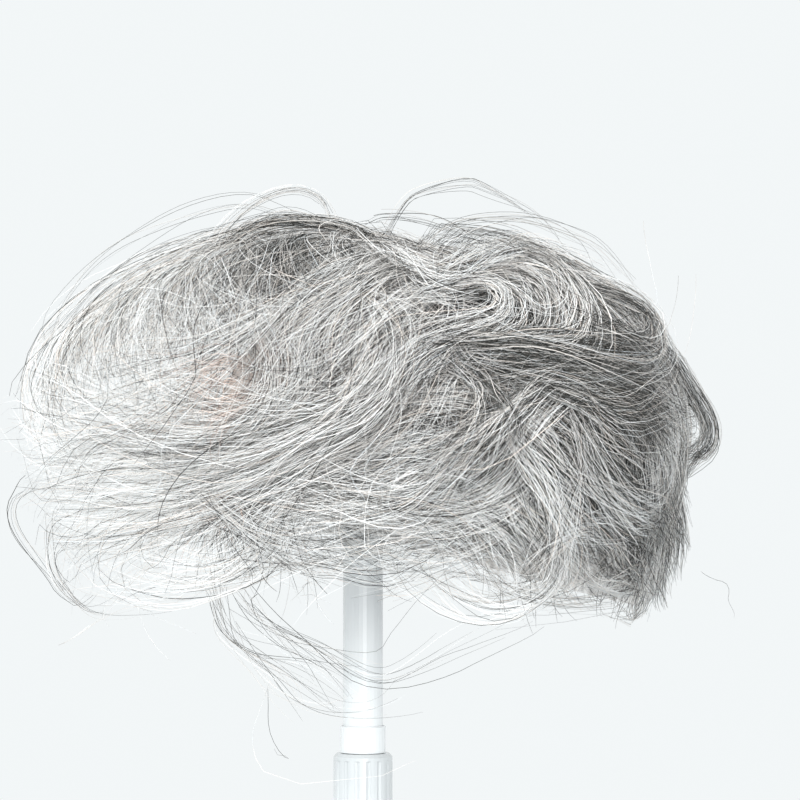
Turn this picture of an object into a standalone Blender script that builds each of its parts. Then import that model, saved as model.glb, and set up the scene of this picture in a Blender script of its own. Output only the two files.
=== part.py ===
"""Partial wig on a post stand: a thin domed cap that carries a mass of grey locks, resting on a white telescopic post.

Metres, +Z up. The origin is the centre of the foot's underside, on the post's axis.
The wig's front, with its rolled quiff, points to -X, and its nape to +X.
"""

import math
from collections import namedtuple

import bmesh
import bpy
import numpy as np
from mathutils import Vector

# The wig's overall size and place
HAIR_FRONT = -0.163
HAIR_LENGTH = 0.324
HAIR_FLOOR = 0.212
HAIR_HEIGHT = 0.198
HAIR_WIDTH = 0.226

# The head form that the cap is moulded on
CAP_CENTRE_X = 0.0255
CAP_EQUATOR_Z = 0.246
CAP_HALF_LENGTH = 0.1035
CAP_HALF_WIDTH = 0.078
CAP_DOME_HEIGHT = 0.132
CAP_WALL = 0.0015
CAP_RIM_FRONT_RISE = 0.029
CAP_RIM_BACK_DROP = 0.030
CAP_SKIRT_LEAN = 0.20

# The matted under-hair that backs the locks, measured out from the cap
BACKING_FRONT_AND_BACK = 0.008
BACKING_SIDES = 0.022
BACKING_TOP = 0.014
BACKING_RIM_DROP = 0.006

# The locks
LOCK_WIDTH = 0.026
LOCK_THICKNESS = 0.012
LOCK_SEAT = 0.003
LOCK_STATIONS = 7
LOCK_SIDES = 4
LOCK_TIP = 0.25
UNDERCUT = 0.22

# The gap kept between two pieces that touch or slide
CLEARANCE = 0.0003

# The post stand, from the foot up
FOOT_RADIUS = 0.085
FOOT_THICKNESS = 0.010
FOOT_EDGE_FILLET = 0.003
HUB_WALL = 0.007
HUB_RISE = 0.016
HUB_FILLET = 0.004
HUB_CHAMFER = 0.002
SOCKET_FLOOR = 0.006
POLE_RADIUS = 0.0090
POLE_ENGAGEMENT = 0.045
OUTER_TUBE_WALL = 0.0022
GRIP_TOP = 0.151
GRIP_LENGTH = 0.048
GRIP_WALL = 0.0015
GRIP_CAP = 0.005
GRIP_LIP = 0.0015
GRIP_FLUTES = 16
GRIP_FLUTE_RADIUS = 0.0014
GRIP_FLUTE_MARGIN = 0.003
COLLAR_WALL = 0.0009
COLLAR_HEIGHT = 0.012
COLLAR_CHAMFER = 0.0004
REST_RADIUS = 0.036
REST_THICKNESS = 0.016
REST_SOCKET_DEPTH = 0.006

# What those sizes give
OUTER_TUBE_BORE = POLE_RADIUS + CLEARANCE
OUTER_TUBE_RADIUS = OUTER_TUBE_BORE + OUTER_TUBE_WALL
OUTER_TUBE_TOP = GRIP_TOP - GRIP_CAP
POLE_BOTTOM = OUTER_TUBE_TOP - POLE_ENGAGEMENT
GRIP_RADIUS = OUTER_TUBE_RADIUS + CLEARANCE + GRIP_WALL
GRIP_BOTTOM = GRIP_TOP - GRIP_LENGTH
HUB_BORE = OUTER_TUBE_RADIUS + CLEARANCE
HUB_RADIUS = HUB_BORE + HUB_WALL

# How finely round shapes are cut
TURNED_SIDES = 32
FOOT_SIDES = 40
DOME_SEGMENTS = 24
DOME_RINGS = 7

# The hair's outer form, one row a section from front to back. at is the share of HAIR_LENGTH from the front.
# top, belly (where it is widest) and hem are shares of HAIR_HEIGHT above the hair's floor, half of half the width.
Section = namedtuple("Section", "at top belly hem half")
SECTIONS = (
    Section(0.00, 0.46, 0.36, 0.18, 0.30),
    Section(0.07, 0.64, 0.42, 0.14, 0.55),
    Section(0.14, 0.76, 0.44, 0.08, 0.74),
    Section(0.24, 0.86, 0.46, 0.04, 0.90),
    Section(0.36, 0.91, 0.46, 0.05, 0.98),
    Section(0.50, 0.91, 0.46, 0.12, 1.00),
    Section(0.62, 0.87, 0.46, 0.08, 1.00),
    Section(0.72, 0.87, 0.46, 0.02, 0.98),
    Section(0.82, 0.80, 0.44, 0.03, 0.90),
    Section(0.90, 0.71, 0.42, 0.00, 0.74),
    Section(0.95, 0.58, 0.40, 0.20, 0.52),
    Section(1.00, 0.46, 0.40, 0.34, 0.22),
)

# One row a lock, from root to tip. view says how its route is drawn, as pairs of shares of the hair's sizes:
# SIDE is (along from the front, up from the floor), TOP is (along from the front, out from the middle).
# out is how far a SIDE lock stands towards the outer form, from 0 on the middle plane to 1 on the form.
Lock = namedtuple("Lock", "name view sides out width route")
SIDE, TOP = "side", "top"
NEAR, FAR, BOTH = (-1,), (1,), (-1, 1)
LOCKS = (
    Lock("quiff_ridge", TOP, BOTH, 1.0, 1.3, ((0.50, 0.10), (0.38, 0.12), (0.26, 0.13), (0.14, 0.12), (0.04, 0.08))),
    Lock("quiff_top", TOP, BOTH, 1.0, 1.4, ((0.50, 0.34), (0.38, 0.38), (0.26, 0.40), (0.15, 0.36), (0.07, 0.24))),
    Lock("quiff_side", TOP, BOTH, 1.0, 1.3, ((0.50, 0.60), (0.38, 0.66), (0.27, 0.66), (0.18, 0.58), (0.12, 0.46))),
    Lock("mound_ridge", TOP, BOTH, 1.0, 1.4, ((0.46, 0.10), (0.60, 0.13), (0.73, 0.13), (0.85, 0.12), (0.92, 0.09))),
    Lock("mound_top", TOP, BOTH, 1.0, 1.5, ((0.46, 0.36), (0.60, 0.42), (0.73, 0.42), (0.84, 0.36), (0.91, 0.26))),
    Lock("mound_side", TOP, BOTH, 1.0, 1.3, ((0.46, 0.62), (0.60, 0.70), (0.73, 0.68), (0.82, 0.58), (0.89, 0.44))),
    Lock("fringe_middle", SIDE, BOTH, 0.18, 1.0, ((0.24, 0.84), (0.12, 0.73), (0.04, 0.58), (0.02, 0.44), (0.05, 0.33))),
    Lock("fringe_inner", SIDE, BOTH, 0.55, 1.1, ((0.26, 0.84), (0.13, 0.72), (0.06, 0.58), (0.04, 0.44), (0.08, 0.34))),
    Lock("quiff_rim", SIDE, BOTH, 1.00, 1.1, ((0.40, 0.88), (0.26, 0.83), (0.13, 0.71), (0.06, 0.56), (0.07, 0.42))),
    Lock("quiff_outer", SIDE, BOTH, 1.00, 1.3, ((0.42, 0.84), (0.28, 0.79), (0.17, 0.69), (0.11, 0.56), (0.16, 0.43))),
    Lock("quiff_middle", SIDE, BOTH, 0.98, 1.3, ((0.42, 0.80), (0.30, 0.74), (0.22, 0.64), (0.20, 0.53), (0.26, 0.43))),
    Lock("quiff_inner", SIDE, NEAR, 0.96, 1.2, ((0.44, 0.78), (0.35, 0.70), (0.30, 0.60), (0.33, 0.48))),
    Lock("arch_front", SIDE, NEAR, 0.30, 0.6, ((0.48, 0.86), (0.45, 0.97), (0.38, 0.97), (0.31, 0.88), (0.25, 0.76), (0.20, 0.62))),
    Lock("arch_back", SIDE, FAR, 0.30, 0.6, ((0.53, 0.82), (0.58, 0.96), (0.66, 0.97), (0.73, 0.92), (0.80, 0.80))),
    Lock("sweep_high", SIDE, BOTH, 1.05, 0.8, ((0.53, 0.80), (0.44, 0.74), (0.34, 0.64), (0.24, 0.55), (0.11, 0.43))),
    Lock("curl_outer", SIDE, BOTH, 1.04, 1.0, ((0.50, 0.84), (0.60, 0.75), (0.62, 0.63), (0.56, 0.50), (0.44, 0.39), (0.26, 0.33))),
    Lock("curl_middle", SIDE, BOTH, 1.04, 1.1, ((0.45, 0.80), (0.53, 0.70), (0.54, 0.58), (0.48, 0.46), (0.34, 0.37), (0.15, 0.33))),
    Lock("curl_inner", SIDE, NEAR, 1.02, 1.0, ((0.38, 0.70), (0.44, 0.60), (0.42, 0.50), (0.33, 0.43), (0.16, 0.38))),
    Lock("sweep_low", SIDE, BOTH, 1.04, 1.2, ((0.76, 0.52), (0.66, 0.40), (0.54, 0.32), (0.38, 0.30), (0.20, 0.27), (0.06, 0.23))),
    Lock("sweep_under", SIDE, BOTH, 0.98, 1.2, ((0.62, 0.36), (0.48, 0.31), (0.34, 0.24), (0.20, 0.20), (0.07, 0.16))),
    Lock("loop_high", SIDE, BOTH, 1.04, 1.0, ((0.57, 0.76), (0.68, 0.79), (0.78, 0.74), (0.80, 0.64), (0.72, 0.59), (0.60, 0.60))),
    Lock("shoulder", SIDE, BOTH, 1.00, 1.2, ((0.74, 0.78), (0.83, 0.72), (0.88, 0.63), (0.84, 0.55))),
    Lock("back_loop", SIDE, NEAR, 0.80, 0.6, ((0.88, 0.60), (0.96, 0.52), (0.985, 0.43), (0.96, 0.34), (0.88, 0.31))),
    Lock("back_middle", SIDE, BOTH, 0.16, 1.3, ((0.84, 0.76), (0.915, 0.60), (0.935, 0.44), (0.925, 0.28), (0.905, 0.10))),
    Lock("back_inner", SIDE, BOTH, 0.52, 1.3, ((0.82, 0.76), (0.905, 0.60), (0.93, 0.44), (0.92, 0.27), (0.90, 0.08))),
    Lock("back_outer", SIDE, BOTH, 0.90, 1.3, ((0.82, 0.72), (0.89, 0.56), (0.91, 0.40), (0.90, 0.24), (0.89, 0.06))),
    Lock("side_high", SIDE, BOTH, 1.02, 1.4, ((0.58, 0.55), (0.69, 0.55), (0.79, 0.48), (0.86, 0.37), (0.89, 0.26))),
    Lock("side_middle", SIDE, BOTH, 1.02, 1.4, ((0.64, 0.48), (0.73, 0.38), (0.80, 0.27), (0.86, 0.22), (0.90, 0.28))),
    Lock("side_low", SIDE, BOTH, 1.00, 1.4, ((0.66, 0.38), (0.73, 0.24), (0.80, 0.12), (0.88, 0.08))),
    Lock("hem_back", SIDE, NEAR, 0.98, 1.1, ((0.60, 0.26), (0.67, 0.13), (0.75, 0.06), (0.85, 0.05))),
    Lock("nape_tuft", SIDE, NEAR, 0.98, 0.7, ((0.84, 0.22), (0.87, 0.10), (0.885, 0.00))),
    Lock("ear_loop", SIDE, NEAR, 1.00, 0.7, ((0.72, 0.32), (0.765, 0.16), (0.72, 0.03), (0.63, 0.01), (0.56, 0.10))),
    Lock("ear_fill", SIDE, BOTH, 0.99, 1.2, ((0.46, 0.30), (0.54, 0.23), (0.62, 0.22), (0.69, 0.28))),
    Lock("temple_fall", SIDE, BOTH, 0.99, 1.2, ((0.30, 0.34), (0.34, 0.22), (0.41, 0.13), (0.48, 0.12))),
    Lock("temple_loop", SIDE, BOTH, 1.00, 0.8, ((0.44, 0.20), (0.35, 0.08), (0.24, 0.04), (0.14, 0.10), (0.15, 0.24))),
    Lock("front_wisp", SIDE, FAR, 1.00, 0.5, ((0.14, 0.36), (0.04, 0.30), (0.03, 0.18), (0.08, 0.06), (0.11, 0.10))),
    Lock("hanging_wisp", SIDE, NEAR, 1.00, 0.55, ((0.36, 0.18), (0.31, 0.03), (0.38, -0.10), (0.485, -0.20))),
)


def remove_startup_objects():
    for obj in list(bpy.data.objects):
        bpy.data.objects.remove(obj)


def new_collection(name):
    collection = bpy.data.collections.new(name)
    bpy.context.scene.collection.children.link(collection)
    return collection


def finish_material(name, colour, roughness, metallic=0.0):
    """A Principled BSDF of one colour, roughness and metallic value."""
    material = bpy.data.materials.new(name)
    material.use_nodes = True
    shader = material.node_tree.nodes["Principled BSDF"]
    shader.inputs["Base Color"].default_value = (*colour, 1.0)
    shader.inputs["Roughness"].default_value = roughness
    shader.inputs["Metallic"].default_value = metallic
    return material


def object_from_bmesh(name, bm, collection):
    bmesh.ops.recalc_face_normals(bm, faces=bm.faces)
    mesh = bpy.data.meshes.new(name)
    bm.to_mesh(mesh)
    bm.free()
    obj = bpy.data.objects.new(name, mesh)
    collection.objects.link(obj)
    return obj


def hide_helper(obj):
    """Marks a cutter or a joined-in shape as no part of the model."""
    obj.hide_render = True
    obj.display_type = "WIRE"
    return obj


def add_boolean(obj, operation, other):
    modifier = obj.modifiers.new(f"{operation.lower()}_{other.name}", "BOOLEAN")
    modifier.operation = operation
    modifier.object = other
    modifier.solver = "EXACT"
    return modifier


def smooth(obj, angle=math.radians(40)):
    obj.data.shade_smooth()
    obj.data.set_sharp_from_angle(angle=angle)


def turned(name, profile, collection, sides=TURNED_SIDES):
    """A solid of revolution about Z: profile is (radius, height) from the top of the axis, down the outside, to the axis."""
    mesh = bpy.data.meshes.new(name)
    edges = [(i, i + 1) for i in range(len(profile) - 1)]
    mesh.from_pydata([(radius, 0.0, height) for radius, height in profile], edges, [])
    obj = bpy.data.objects.new(name, mesh)
    collection.objects.link(obj)
    screw = obj.modifiers.new("turn", "SCREW")
    screw.steps = screw.render_steps = sides
    screw.use_merge_vertices = True
    screw.merge_threshold = 0.00001
    return obj


def rim_height(x):
    """The cap's slanting rim: high over the forehead, low at the nape."""
    front = CAP_CENTRE_X - CAP_HALF_LENGTH
    share = (x - front) / (2 * CAP_HALF_LENGTH)
    high = CAP_EQUATOR_Z + CAP_RIM_FRONT_RISE
    low = CAP_EQUATOR_Z - CAP_RIM_BACK_DROP
    return high + share * (low - high)


def head_form(lengthways, sideways, upwards, skirt):
    """A closed half ellipsoid on a skirt that leans in, grown from the cap's outside by an amount each way."""
    bm = bmesh.new()
    bmesh.ops.create_uvsphere(bm, u_segments=DOME_SEGMENTS, v_segments=2 * DOME_RINGS, radius=1.0)
    below = [v for v in bm.verts if v.co.z < -1e-4]
    bmesh.ops.delete(bm, geom=below, context="VERTS")
    equator = [e for e in bm.edges if e.is_boundary]
    skirt_edges = bmesh.ops.extrude_edge_only(bm, edges=equator)["geom"]
    lower_ring = [v for v in skirt_edges if isinstance(v, bmesh.types.BMVert)]
    half = Vector((CAP_HALF_LENGTH + lengthways, CAP_HALF_WIDTH + sideways, CAP_DOME_HEIGHT + upwards))
    for vert in bm.verts:
        vert.co = Vector((vert.co.x * half.x, vert.co.y * half.y, vert.co.z * half.z))
    for vert in lower_ring:
        vert.co.x *= 1 - CAP_SKIRT_LEAN * skirt / half.x
        vert.co.y *= 1 - CAP_SKIRT_LEAN * skirt / half.y
        vert.co.z = -skirt
    bmesh.ops.holes_fill(bm, edges=[e for e in bm.edges if e.is_boundary], sides=0)
    bmesh.ops.translate(bm, verts=bm.verts, vec=(CAP_CENTRE_X, 0.0, CAP_EQUATOR_Z))
    return bm


def cut_at_rim(bm, drop, fill):
    """Keeps what lies above the rim's plane, lowered by drop, and closes the cut if fill is set."""
    run = Vector((1.0, 0.0, rim_height(1.0) - rim_height(0.0)))
    normal = Vector((-run.z, 0.0, run.x)).normalized()
    point = Vector((CAP_CENTRE_X, 0.0, rim_height(CAP_CENTRE_X) - drop))
    everything = [*bm.verts, *bm.edges, *bm.faces]
    bmesh.ops.bisect_plane(bm, geom=everything, plane_co=point, plane_no=normal, clear_inner=True)
    if fill:
        bmesh.ops.holes_fill(bm, edges=[e for e in bm.edges if e.is_boundary], sides=0)


def build_cap(collection):
    """The thin domed base that the hair is knotted into: an open surface given its wall inwards."""
    bm = head_form(0.0, 0.0, 0.0, 2 * CAP_RIM_BACK_DROP)
    cut_at_rim(bm, 0.0, fill=False)
    cap = object_from_bmesh("cap_base", bm, collection)
    wall = cap.modifiers.new("wall", "SOLIDIFY")
    wall.thickness = CAP_WALL
    wall.offset = -1.0
    wall.use_even_offset = True
    smooth(cap)
    cap.data.materials.append(finish_material("flesh_poly_base", (0.62, 0.43, 0.35), 0.55))
    return cap


def smooth_route(route, count):
    """Points evenly spaced along a Catmull-Rom curve through the route's own points."""
    points = np.array(route, float)
    padded = np.vstack([2 * points[0] - points[1], points, 2 * points[-1] - points[-2]])
    share = np.linspace(0.0, 1.0, 12, endpoint=False)[:, None]
    pieces = []
    for i in range(len(points) - 1):
        a, b, c, d = padded[i : i + 4]
        pieces.append(
            0.5 * (2 * b + (c - a) * share + (2 * a - 5 * b + 4 * c - d) * share**2 + (3 * b - a - 3 * c + d) * share**3)
        )
    curve = np.vstack([*pieces, points[-1:]])
    travelled = np.concatenate([[0.0], np.cumsum(np.linalg.norm(np.diff(curve, axis=0), axis=1))])
    wanted = np.linspace(0.0, travelled[-1], count)
    return np.stack([np.interp(wanted, travelled, curve[:, k]) for k in range(curve.shape[1])], axis=1)


def outer_form(at):
    """The outer form's top, belly and hem heights and its half width, in metres, at shares of the length."""
    table = np.array(SECTIONS)
    top, belly, hem = (HAIR_FLOOR + HAIR_HEIGHT * np.interp(at, table[:, 0], table[:, k]) for k in (1, 2, 3))
    return top, belly, hem, HAIR_WIDTH / 2 * np.interp(at, table[:, 0], table[:, 4])


def laid_on_form(lock, side):
    """A lock's path in space: the sense that its view leaves out is read from the outer form, and the cap is kept clear."""
    drawn = smooth_route(lock.route, LOCK_STATIONS)
    top, belly, hem, half = outer_form(drawn[:, 0])
    x = HAIR_FRONT + drawn[:, 0] * HAIR_LENGTH
    if lock.view == TOP:
        y = side * drawn[:, 1] * HAIR_WIDTH / 2
        z = belly + (top - belly) * np.sqrt(np.maximum(1 - (y / half) ** 2, 0.0))
    else:
        z = HAIR_FLOOR + drawn[:, 1] * HAIR_HEIGHT
        above = np.clip((z - belly) / (top - belly), 0.0, 1.0)
        below = np.clip((belly - z) / (belly - hem), 0.0, 1.0)
        y = side * lock.out * half * np.sqrt(1 - above**2) * (1 - UNDERCUT * below**2)
        y = side * np.maximum(side * y, LOCK_THICKNESS * lock.out)
    points = np.stack([x, y, z], axis=1)
    return clear_of_cap(points)


def clear_of_cap(points):
    """Moves what lies inside the cap, grown by half a lock, straight out onto it."""
    middle = np.array([CAP_CENTRE_X, 0.0, CAP_EQUATOR_Z])
    grown = np.array([CAP_HALF_LENGTH, CAP_HALF_WIDTH, CAP_DOME_HEIGHT]) + LOCK_THICKNESS / 2 + LOCK_SEAT
    local = (points - middle) / grown
    upper = local[:, 2] > 0
    local[:, 2] = np.where(upper, local[:, 2], 0.0)
    reach = np.linalg.norm(local, axis=1)
    push = np.where(reach < 1.0, 1.0 / np.maximum(reach, 0.2), 1.0)[:, None]
    moved = middle + (points - middle) * push
    moved[:, 2] = np.where(upper, moved[:, 2], points[:, 2])
    return moved


def lock_sections(points, width, thickness):
    """The rings of a lock: ovals across its path, flat against the head, full in the middle and drawn in at both ends."""
    centre = np.array([HAIR_FRONT + HAIR_LENGTH / 2, 0.0, HAIR_FLOOR + HAIR_HEIGHT / 2])
    half = np.array([HAIR_LENGTH, HAIR_WIDTH, HAIR_HEIGHT]) / 2
    along = np.gradient(points, axis=0)
    along /= np.linalg.norm(along, axis=1)[:, None]
    outward = (points - centre) / half**2
    outward -= (outward * along).sum(1)[:, None] * along
    outward /= np.linalg.norm(outward, axis=1)[:, None]
    across = np.cross(along, outward)
    share = np.linspace(0.0, 1.0, len(points))
    fullness = np.minimum(0.6 + 2.0 * share, 1.0) * np.sqrt(np.maximum(1.0 - share**3, LOCK_TIP**2))
    angles = np.linspace(0.0, 2 * math.pi, LOCK_SIDES, endpoint=False)
    ring = np.cos(angles)[None, :, None] * across[:, None, :] * width / 2
    ring = ring + np.sin(angles)[None, :, None] * outward[:, None, :] * thickness / 2
    return points[:, None, :] + ring * fullness[:, None, None]


def build_lock(lock, side, collection):
    """A lock is a loft through ovals that turn with its path, which no modifier makes."""
    points = laid_on_form(lock, side)
    thickness = LOCK_THICKNESS * min(1.0, 0.55 + 0.45 * lock.width)
    rings = lock_sections(points, LOCK_WIDTH * lock.width, thickness)
    bm = bmesh.new()
    verts = [[bm.verts.new(corner) for corner in ring] for ring in rings]
    for lower, upper in zip(verts[:-1], verts[1:]):
        for i in range(LOCK_SIDES):
            j = (i + 1) % LOCK_SIDES
            bm.faces.new((lower[i], lower[j], upper[j], upper[i]))
    bm.faces.new(verts[0][::-1])
    bm.faces.new(verts[-1])
    name = f"{lock.name}_{'near' if side < 0 else 'far'}"
    return hide_helper(object_from_bmesh(name, bm, collection))


def outer_skin(mesh):
    """Drops every closed pocket and loose crumb of a fused mesh, and keeps its one outer skin."""
    bm = bmesh.new()
    bm.from_mesh(mesh)
    bmesh.ops.remove_doubles(bm, verts=bm.verts, dist=0.00001)
    unseen = set(bm.verts)
    islands = []
    while unseen:
        front = [unseen.pop()]
        island = set(front)
        while front:
            for edge in front.pop().link_edges:
                for vert in edge.verts:
                    if vert in unseen:
                        unseen.remove(vert)
                        island.add(vert)
                        front.append(vert)
        islands.append(island)
    kept = max(islands, key=len)
    bmesh.ops.delete(bm, geom=[v for v in bm.verts if v not in kept], context="VERTS")
    return bm


def build_hair(collection, helpers):
    """All the hair as one solid: matted backing over the cap, with every lock fused to it and the head's hollow cut out."""
    bm = head_form(BACKING_FRONT_AND_BACK, BACKING_SIDES, BACKING_TOP, 2 * CAP_RIM_BACK_DROP)
    cut_at_rim(bm, BACKING_RIM_DROP, fill=True)
    backing = hide_helper(object_from_bmesh("backing", bm, helpers))
    locks = bpy.data.collections.new("locks")
    helpers.children.link(locks)
    for lock in LOCKS:
        for side in lock.sides:
            build_lock(lock, side, locks)
    fuse = backing.modifiers.new("fuse_locks", "BOOLEAN")
    fuse.operation = "UNION"
    fuse.operand_type = "COLLECTION"
    fuse.collection = locks
    fuse.solver = "EXACT"
    hollow = head_form(CLEARANCE, CLEARANCE, CLEARANCE, CAP_EQUATOR_Z - GRIP_TOP)
    head_cutter = hide_helper(object_from_bmesh("head_hollow_cutter", hollow, helpers))
    add_boolean(backing, "DIFFERENCE", head_cutter)
    bpy.context.view_layer.update()
    graph = bpy.context.evaluated_depsgraph_get()
    fused = bpy.data.meshes.new_from_object(backing.evaluated_get(graph))
    hair = object_from_bmesh("hair", outer_skin(fused), collection)
    bpy.data.meshes.remove(fused)
    smooth(hair)
    hair.data.materials.append(finish_material("grey_hair", (0.42, 0.42, 0.41), 0.5))
    return hair


def build_foot(collection, paint):
    """A weighted disc with a turned hub, whose socket takes the outer tube."""
    hub_top = FOOT_THICKNESS + HUB_RISE
    profile = [
        (0.0, SOCKET_FLOOR),
        (HUB_BORE, SOCKET_FLOOR),
        (HUB_BORE, hub_top),
        (HUB_RADIUS - HUB_CHAMFER, hub_top),
        (HUB_RADIUS, hub_top - HUB_CHAMFER),
        (HUB_RADIUS, FOOT_THICKNESS + HUB_FILLET),
        (HUB_RADIUS + HUB_FILLET, FOOT_THICKNESS),
        (FOOT_RADIUS - FOOT_EDGE_FILLET, FOOT_THICKNESS),
        (FOOT_RADIUS, FOOT_THICKNESS - FOOT_EDGE_FILLET),
        (FOOT_RADIUS, 0.0),
        (0.0, 0.0),
    ]
    foot = turned("stand_foot", profile, collection, sides=FOOT_SIDES)
    foot.data.materials.append(paint)
    return foot


def build_outer_tube(collection, paint):
    """The stand's fixed lower tube, open at the top for the pole."""
    bottom = SOCKET_FLOOR + CLEARANCE
    profile = [
        (0.0, POLE_BOTTOM - CLEARANCE),
        (OUTER_TUBE_BORE, POLE_BOTTOM - CLEARANCE),
        (OUTER_TUBE_BORE, OUTER_TUBE_TOP),
        (OUTER_TUBE_RADIUS, OUTER_TUBE_TOP),
        (OUTER_TUBE_RADIUS, bottom),
        (0.0, bottom),
    ]
    tube = turned("stand_outer_tube", profile, collection)
    tube.data.materials.append(paint)
    return tube


def build_grip(collection, helpers, paint):
    """The fluted clamp grip round the joint of the two tubes, closed over the outer tube's end."""
    over_tube = OUTER_TUBE_RADIUS + CLEARANCE
    over_pole = POLE_RADIUS + CLEARANCE
    shoulder = OUTER_TUBE_TOP + CLEARANCE
    profile = [
        (over_tube, GRIP_BOTTOM),
        (over_tube, shoulder),
        (over_pole, shoulder),
        (over_pole, GRIP_TOP),
        (GRIP_RADIUS - GRIP_LIP, GRIP_TOP),
        (GRIP_RADIUS, GRIP_TOP - GRIP_LIP),
        (GRIP_RADIUS, GRIP_BOTTOM),
        (over_tube, GRIP_BOTTOM),
    ]
    grip = turned("stand_grip", profile, collection, sides=2 * GRIP_FLUTES)
    flute_axis = GRIP_RADIUS + GRIP_FLUTE_RADIUS / 2
    for i in range(GRIP_FLUTES):
        turn = 2 * math.pi * (i + 0.5) / GRIP_FLUTES
        bpy.ops.mesh.primitive_cylinder_add(
            vertices=8,
            radius=GRIP_FLUTE_RADIUS,
            depth=GRIP_LENGTH - 2 * GRIP_FLUTE_MARGIN,
            location=(flute_axis * math.cos(turn), flute_axis * math.sin(turn), GRIP_TOP - GRIP_LENGTH / 2),
            rotation=(0.0, 0.0, turn),
        )
        flute = hide_helper(bpy.context.active_object)
        flute.name = f"flute_cutter_{i + 1:02d}"
        bpy.context.collection.objects.unlink(flute)
        helpers.objects.link(flute)
    fluting = grip.modifiers.new("flutes", "BOOLEAN")
    fluting.operation = "DIFFERENCE"
    fluting.operand_type = "COLLECTION"
    fluting.collection = helpers
    fluting.solver = "EXACT"
    grip.data.materials.append(paint)
    return grip


def build_collar(collection, paint):
    """The plain ring that stands on the grip."""
    bottom = GRIP_TOP + CLEARANCE
    top = bottom + COLLAR_HEIGHT
    bore = POLE_RADIUS + CLEARANCE
    outside = bore + COLLAR_WALL
    profile = [
        (bore, bottom),
        (bore, top),
        (outside - COLLAR_CHAMFER, top),
        (outside, top - COLLAR_CHAMFER),
        (outside, bottom),
        (bore, bottom),
    ]
    collar = turned("stand_collar", profile, collection)
    collar.data.materials.append(paint)
    return collar


def inner_crown_height():
    """How high the cap's inside is above the post's axis."""
    half_length = CAP_HALF_LENGTH - CAP_WALL
    rise = math.sqrt(1.0 - (CAP_CENTRE_X / half_length) ** 2)
    return CAP_EQUATOR_Z + (CAP_DOME_HEIGHT - CAP_WALL) * rise


def build_rest(collection, helpers, paint):
    """A plain domed pad on the post, cut to the inside of the cap so that the wig sits on it."""
    underside = inner_crown_height() - REST_THICKNESS
    bpy.ops.mesh.primitive_cylinder_add(
        vertices=TURNED_SIDES,
        radius=REST_RADIUS,
        depth=2 * REST_THICKNESS,
        location=(0.0, 0.0, underside + REST_THICKNESS),
    )
    rest = bpy.context.active_object
    rest.name = rest.data.name = "stand_rest"
    bpy.context.collection.objects.unlink(rest)
    collection.objects.link(rest)
    inset = -(CAP_WALL + CLEARANCE)
    inside = head_form(inset, inset, inset, CAP_RIM_BACK_DROP)
    add_boolean(rest, "INTERSECT", hide_helper(object_from_bmesh("cap_inside", inside, helpers)))
    bpy.ops.mesh.primitive_cylinder_add(
        vertices=TURNED_SIDES,
        radius=POLE_RADIUS + CLEARANCE,
        depth=2 * REST_SOCKET_DEPTH,
        location=(0.0, 0.0, underside),
    )
    socket = hide_helper(bpy.context.active_object)
    socket.name = "rest_socket_cutter"
    bpy.context.collection.objects.unlink(socket)
    helpers.objects.link(socket)
    add_boolean(rest, "DIFFERENCE", socket)
    rest.data.materials.append(paint)
    return rest


def build_pole(collection, paint):
    """The sliding upper tube, drawn as a solid rod because both its ends are covered."""
    top = inner_crown_height() - REST_THICKNESS + REST_SOCKET_DEPTH - CLEARANCE
    profile = [(0.0, top), (POLE_RADIUS, top), (POLE_RADIUS, POLE_BOTTOM), (0.0, POLE_BOTTOM)]
    pole = turned("stand_pole", profile, collection)
    pole.data.materials.append(paint)
    return pole


def main():
    remove_startup_objects()
    model = new_collection("partial_wig_on_post_stand")
    helpers = new_collection("hair_helpers")
    flutes = new_collection("grip_cutters")
    rest_helpers = new_collection("rest_cutters")
    white = finish_material("white_stand_plastic", (0.86, 0.88, 0.89), 0.35)
    build_cap(model)
    build_hair(model, helpers)
    build_foot(model, white)
    build_outer_tube(model, white)
    build_grip(model, flutes, white)
    build_collar(model, white)
    build_pole(model, white)
    build_rest(model, rest_helpers, white)
    bpy.context.view_layer.update()


main()
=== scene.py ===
# %% [markdown]
# # A partial wig on a post stand
#
# The real object is a grey, salt-and-pepper hairpiece. Thousands of loose, wavy strands are knotted into a
# thin flesh-toned base, and the piece rests on a white telescopic post. Hair could be made with particle hair
# or curves, but those don't survive an export as plain meshes. So every strand here is a thin closed tube,
# and numpy works out all the strands of a group at once.

import math
from collections import namedtuple
from functools import partial

import bpy
import numpy as np
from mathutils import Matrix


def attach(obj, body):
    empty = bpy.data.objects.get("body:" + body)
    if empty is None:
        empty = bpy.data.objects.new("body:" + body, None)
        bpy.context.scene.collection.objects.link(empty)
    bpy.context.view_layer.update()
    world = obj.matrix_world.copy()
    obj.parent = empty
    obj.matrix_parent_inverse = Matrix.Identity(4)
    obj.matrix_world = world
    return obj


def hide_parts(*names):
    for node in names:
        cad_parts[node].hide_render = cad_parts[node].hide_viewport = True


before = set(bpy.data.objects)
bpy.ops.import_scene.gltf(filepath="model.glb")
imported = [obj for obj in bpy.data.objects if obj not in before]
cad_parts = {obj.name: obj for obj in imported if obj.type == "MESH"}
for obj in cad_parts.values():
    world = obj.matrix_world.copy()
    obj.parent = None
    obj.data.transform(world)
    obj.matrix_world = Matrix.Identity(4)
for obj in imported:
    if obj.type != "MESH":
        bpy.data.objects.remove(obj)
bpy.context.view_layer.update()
MM = 0.001

# %% [markdown]
# ## The camera
#
# The photograph was taken level and from the side, with a long lens, so parallel things look parallel. A 200
# mm lens two metres away gives the same frame: 360 mm wide at the wig.

# %% The camera
CAMERA_DISTANCE = 2.0
FRAME_WIDTH = 0.360
VIEW_CENTRE = (0.01665, 0.0, 0.30975)
SENSOR = 36.0


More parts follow.
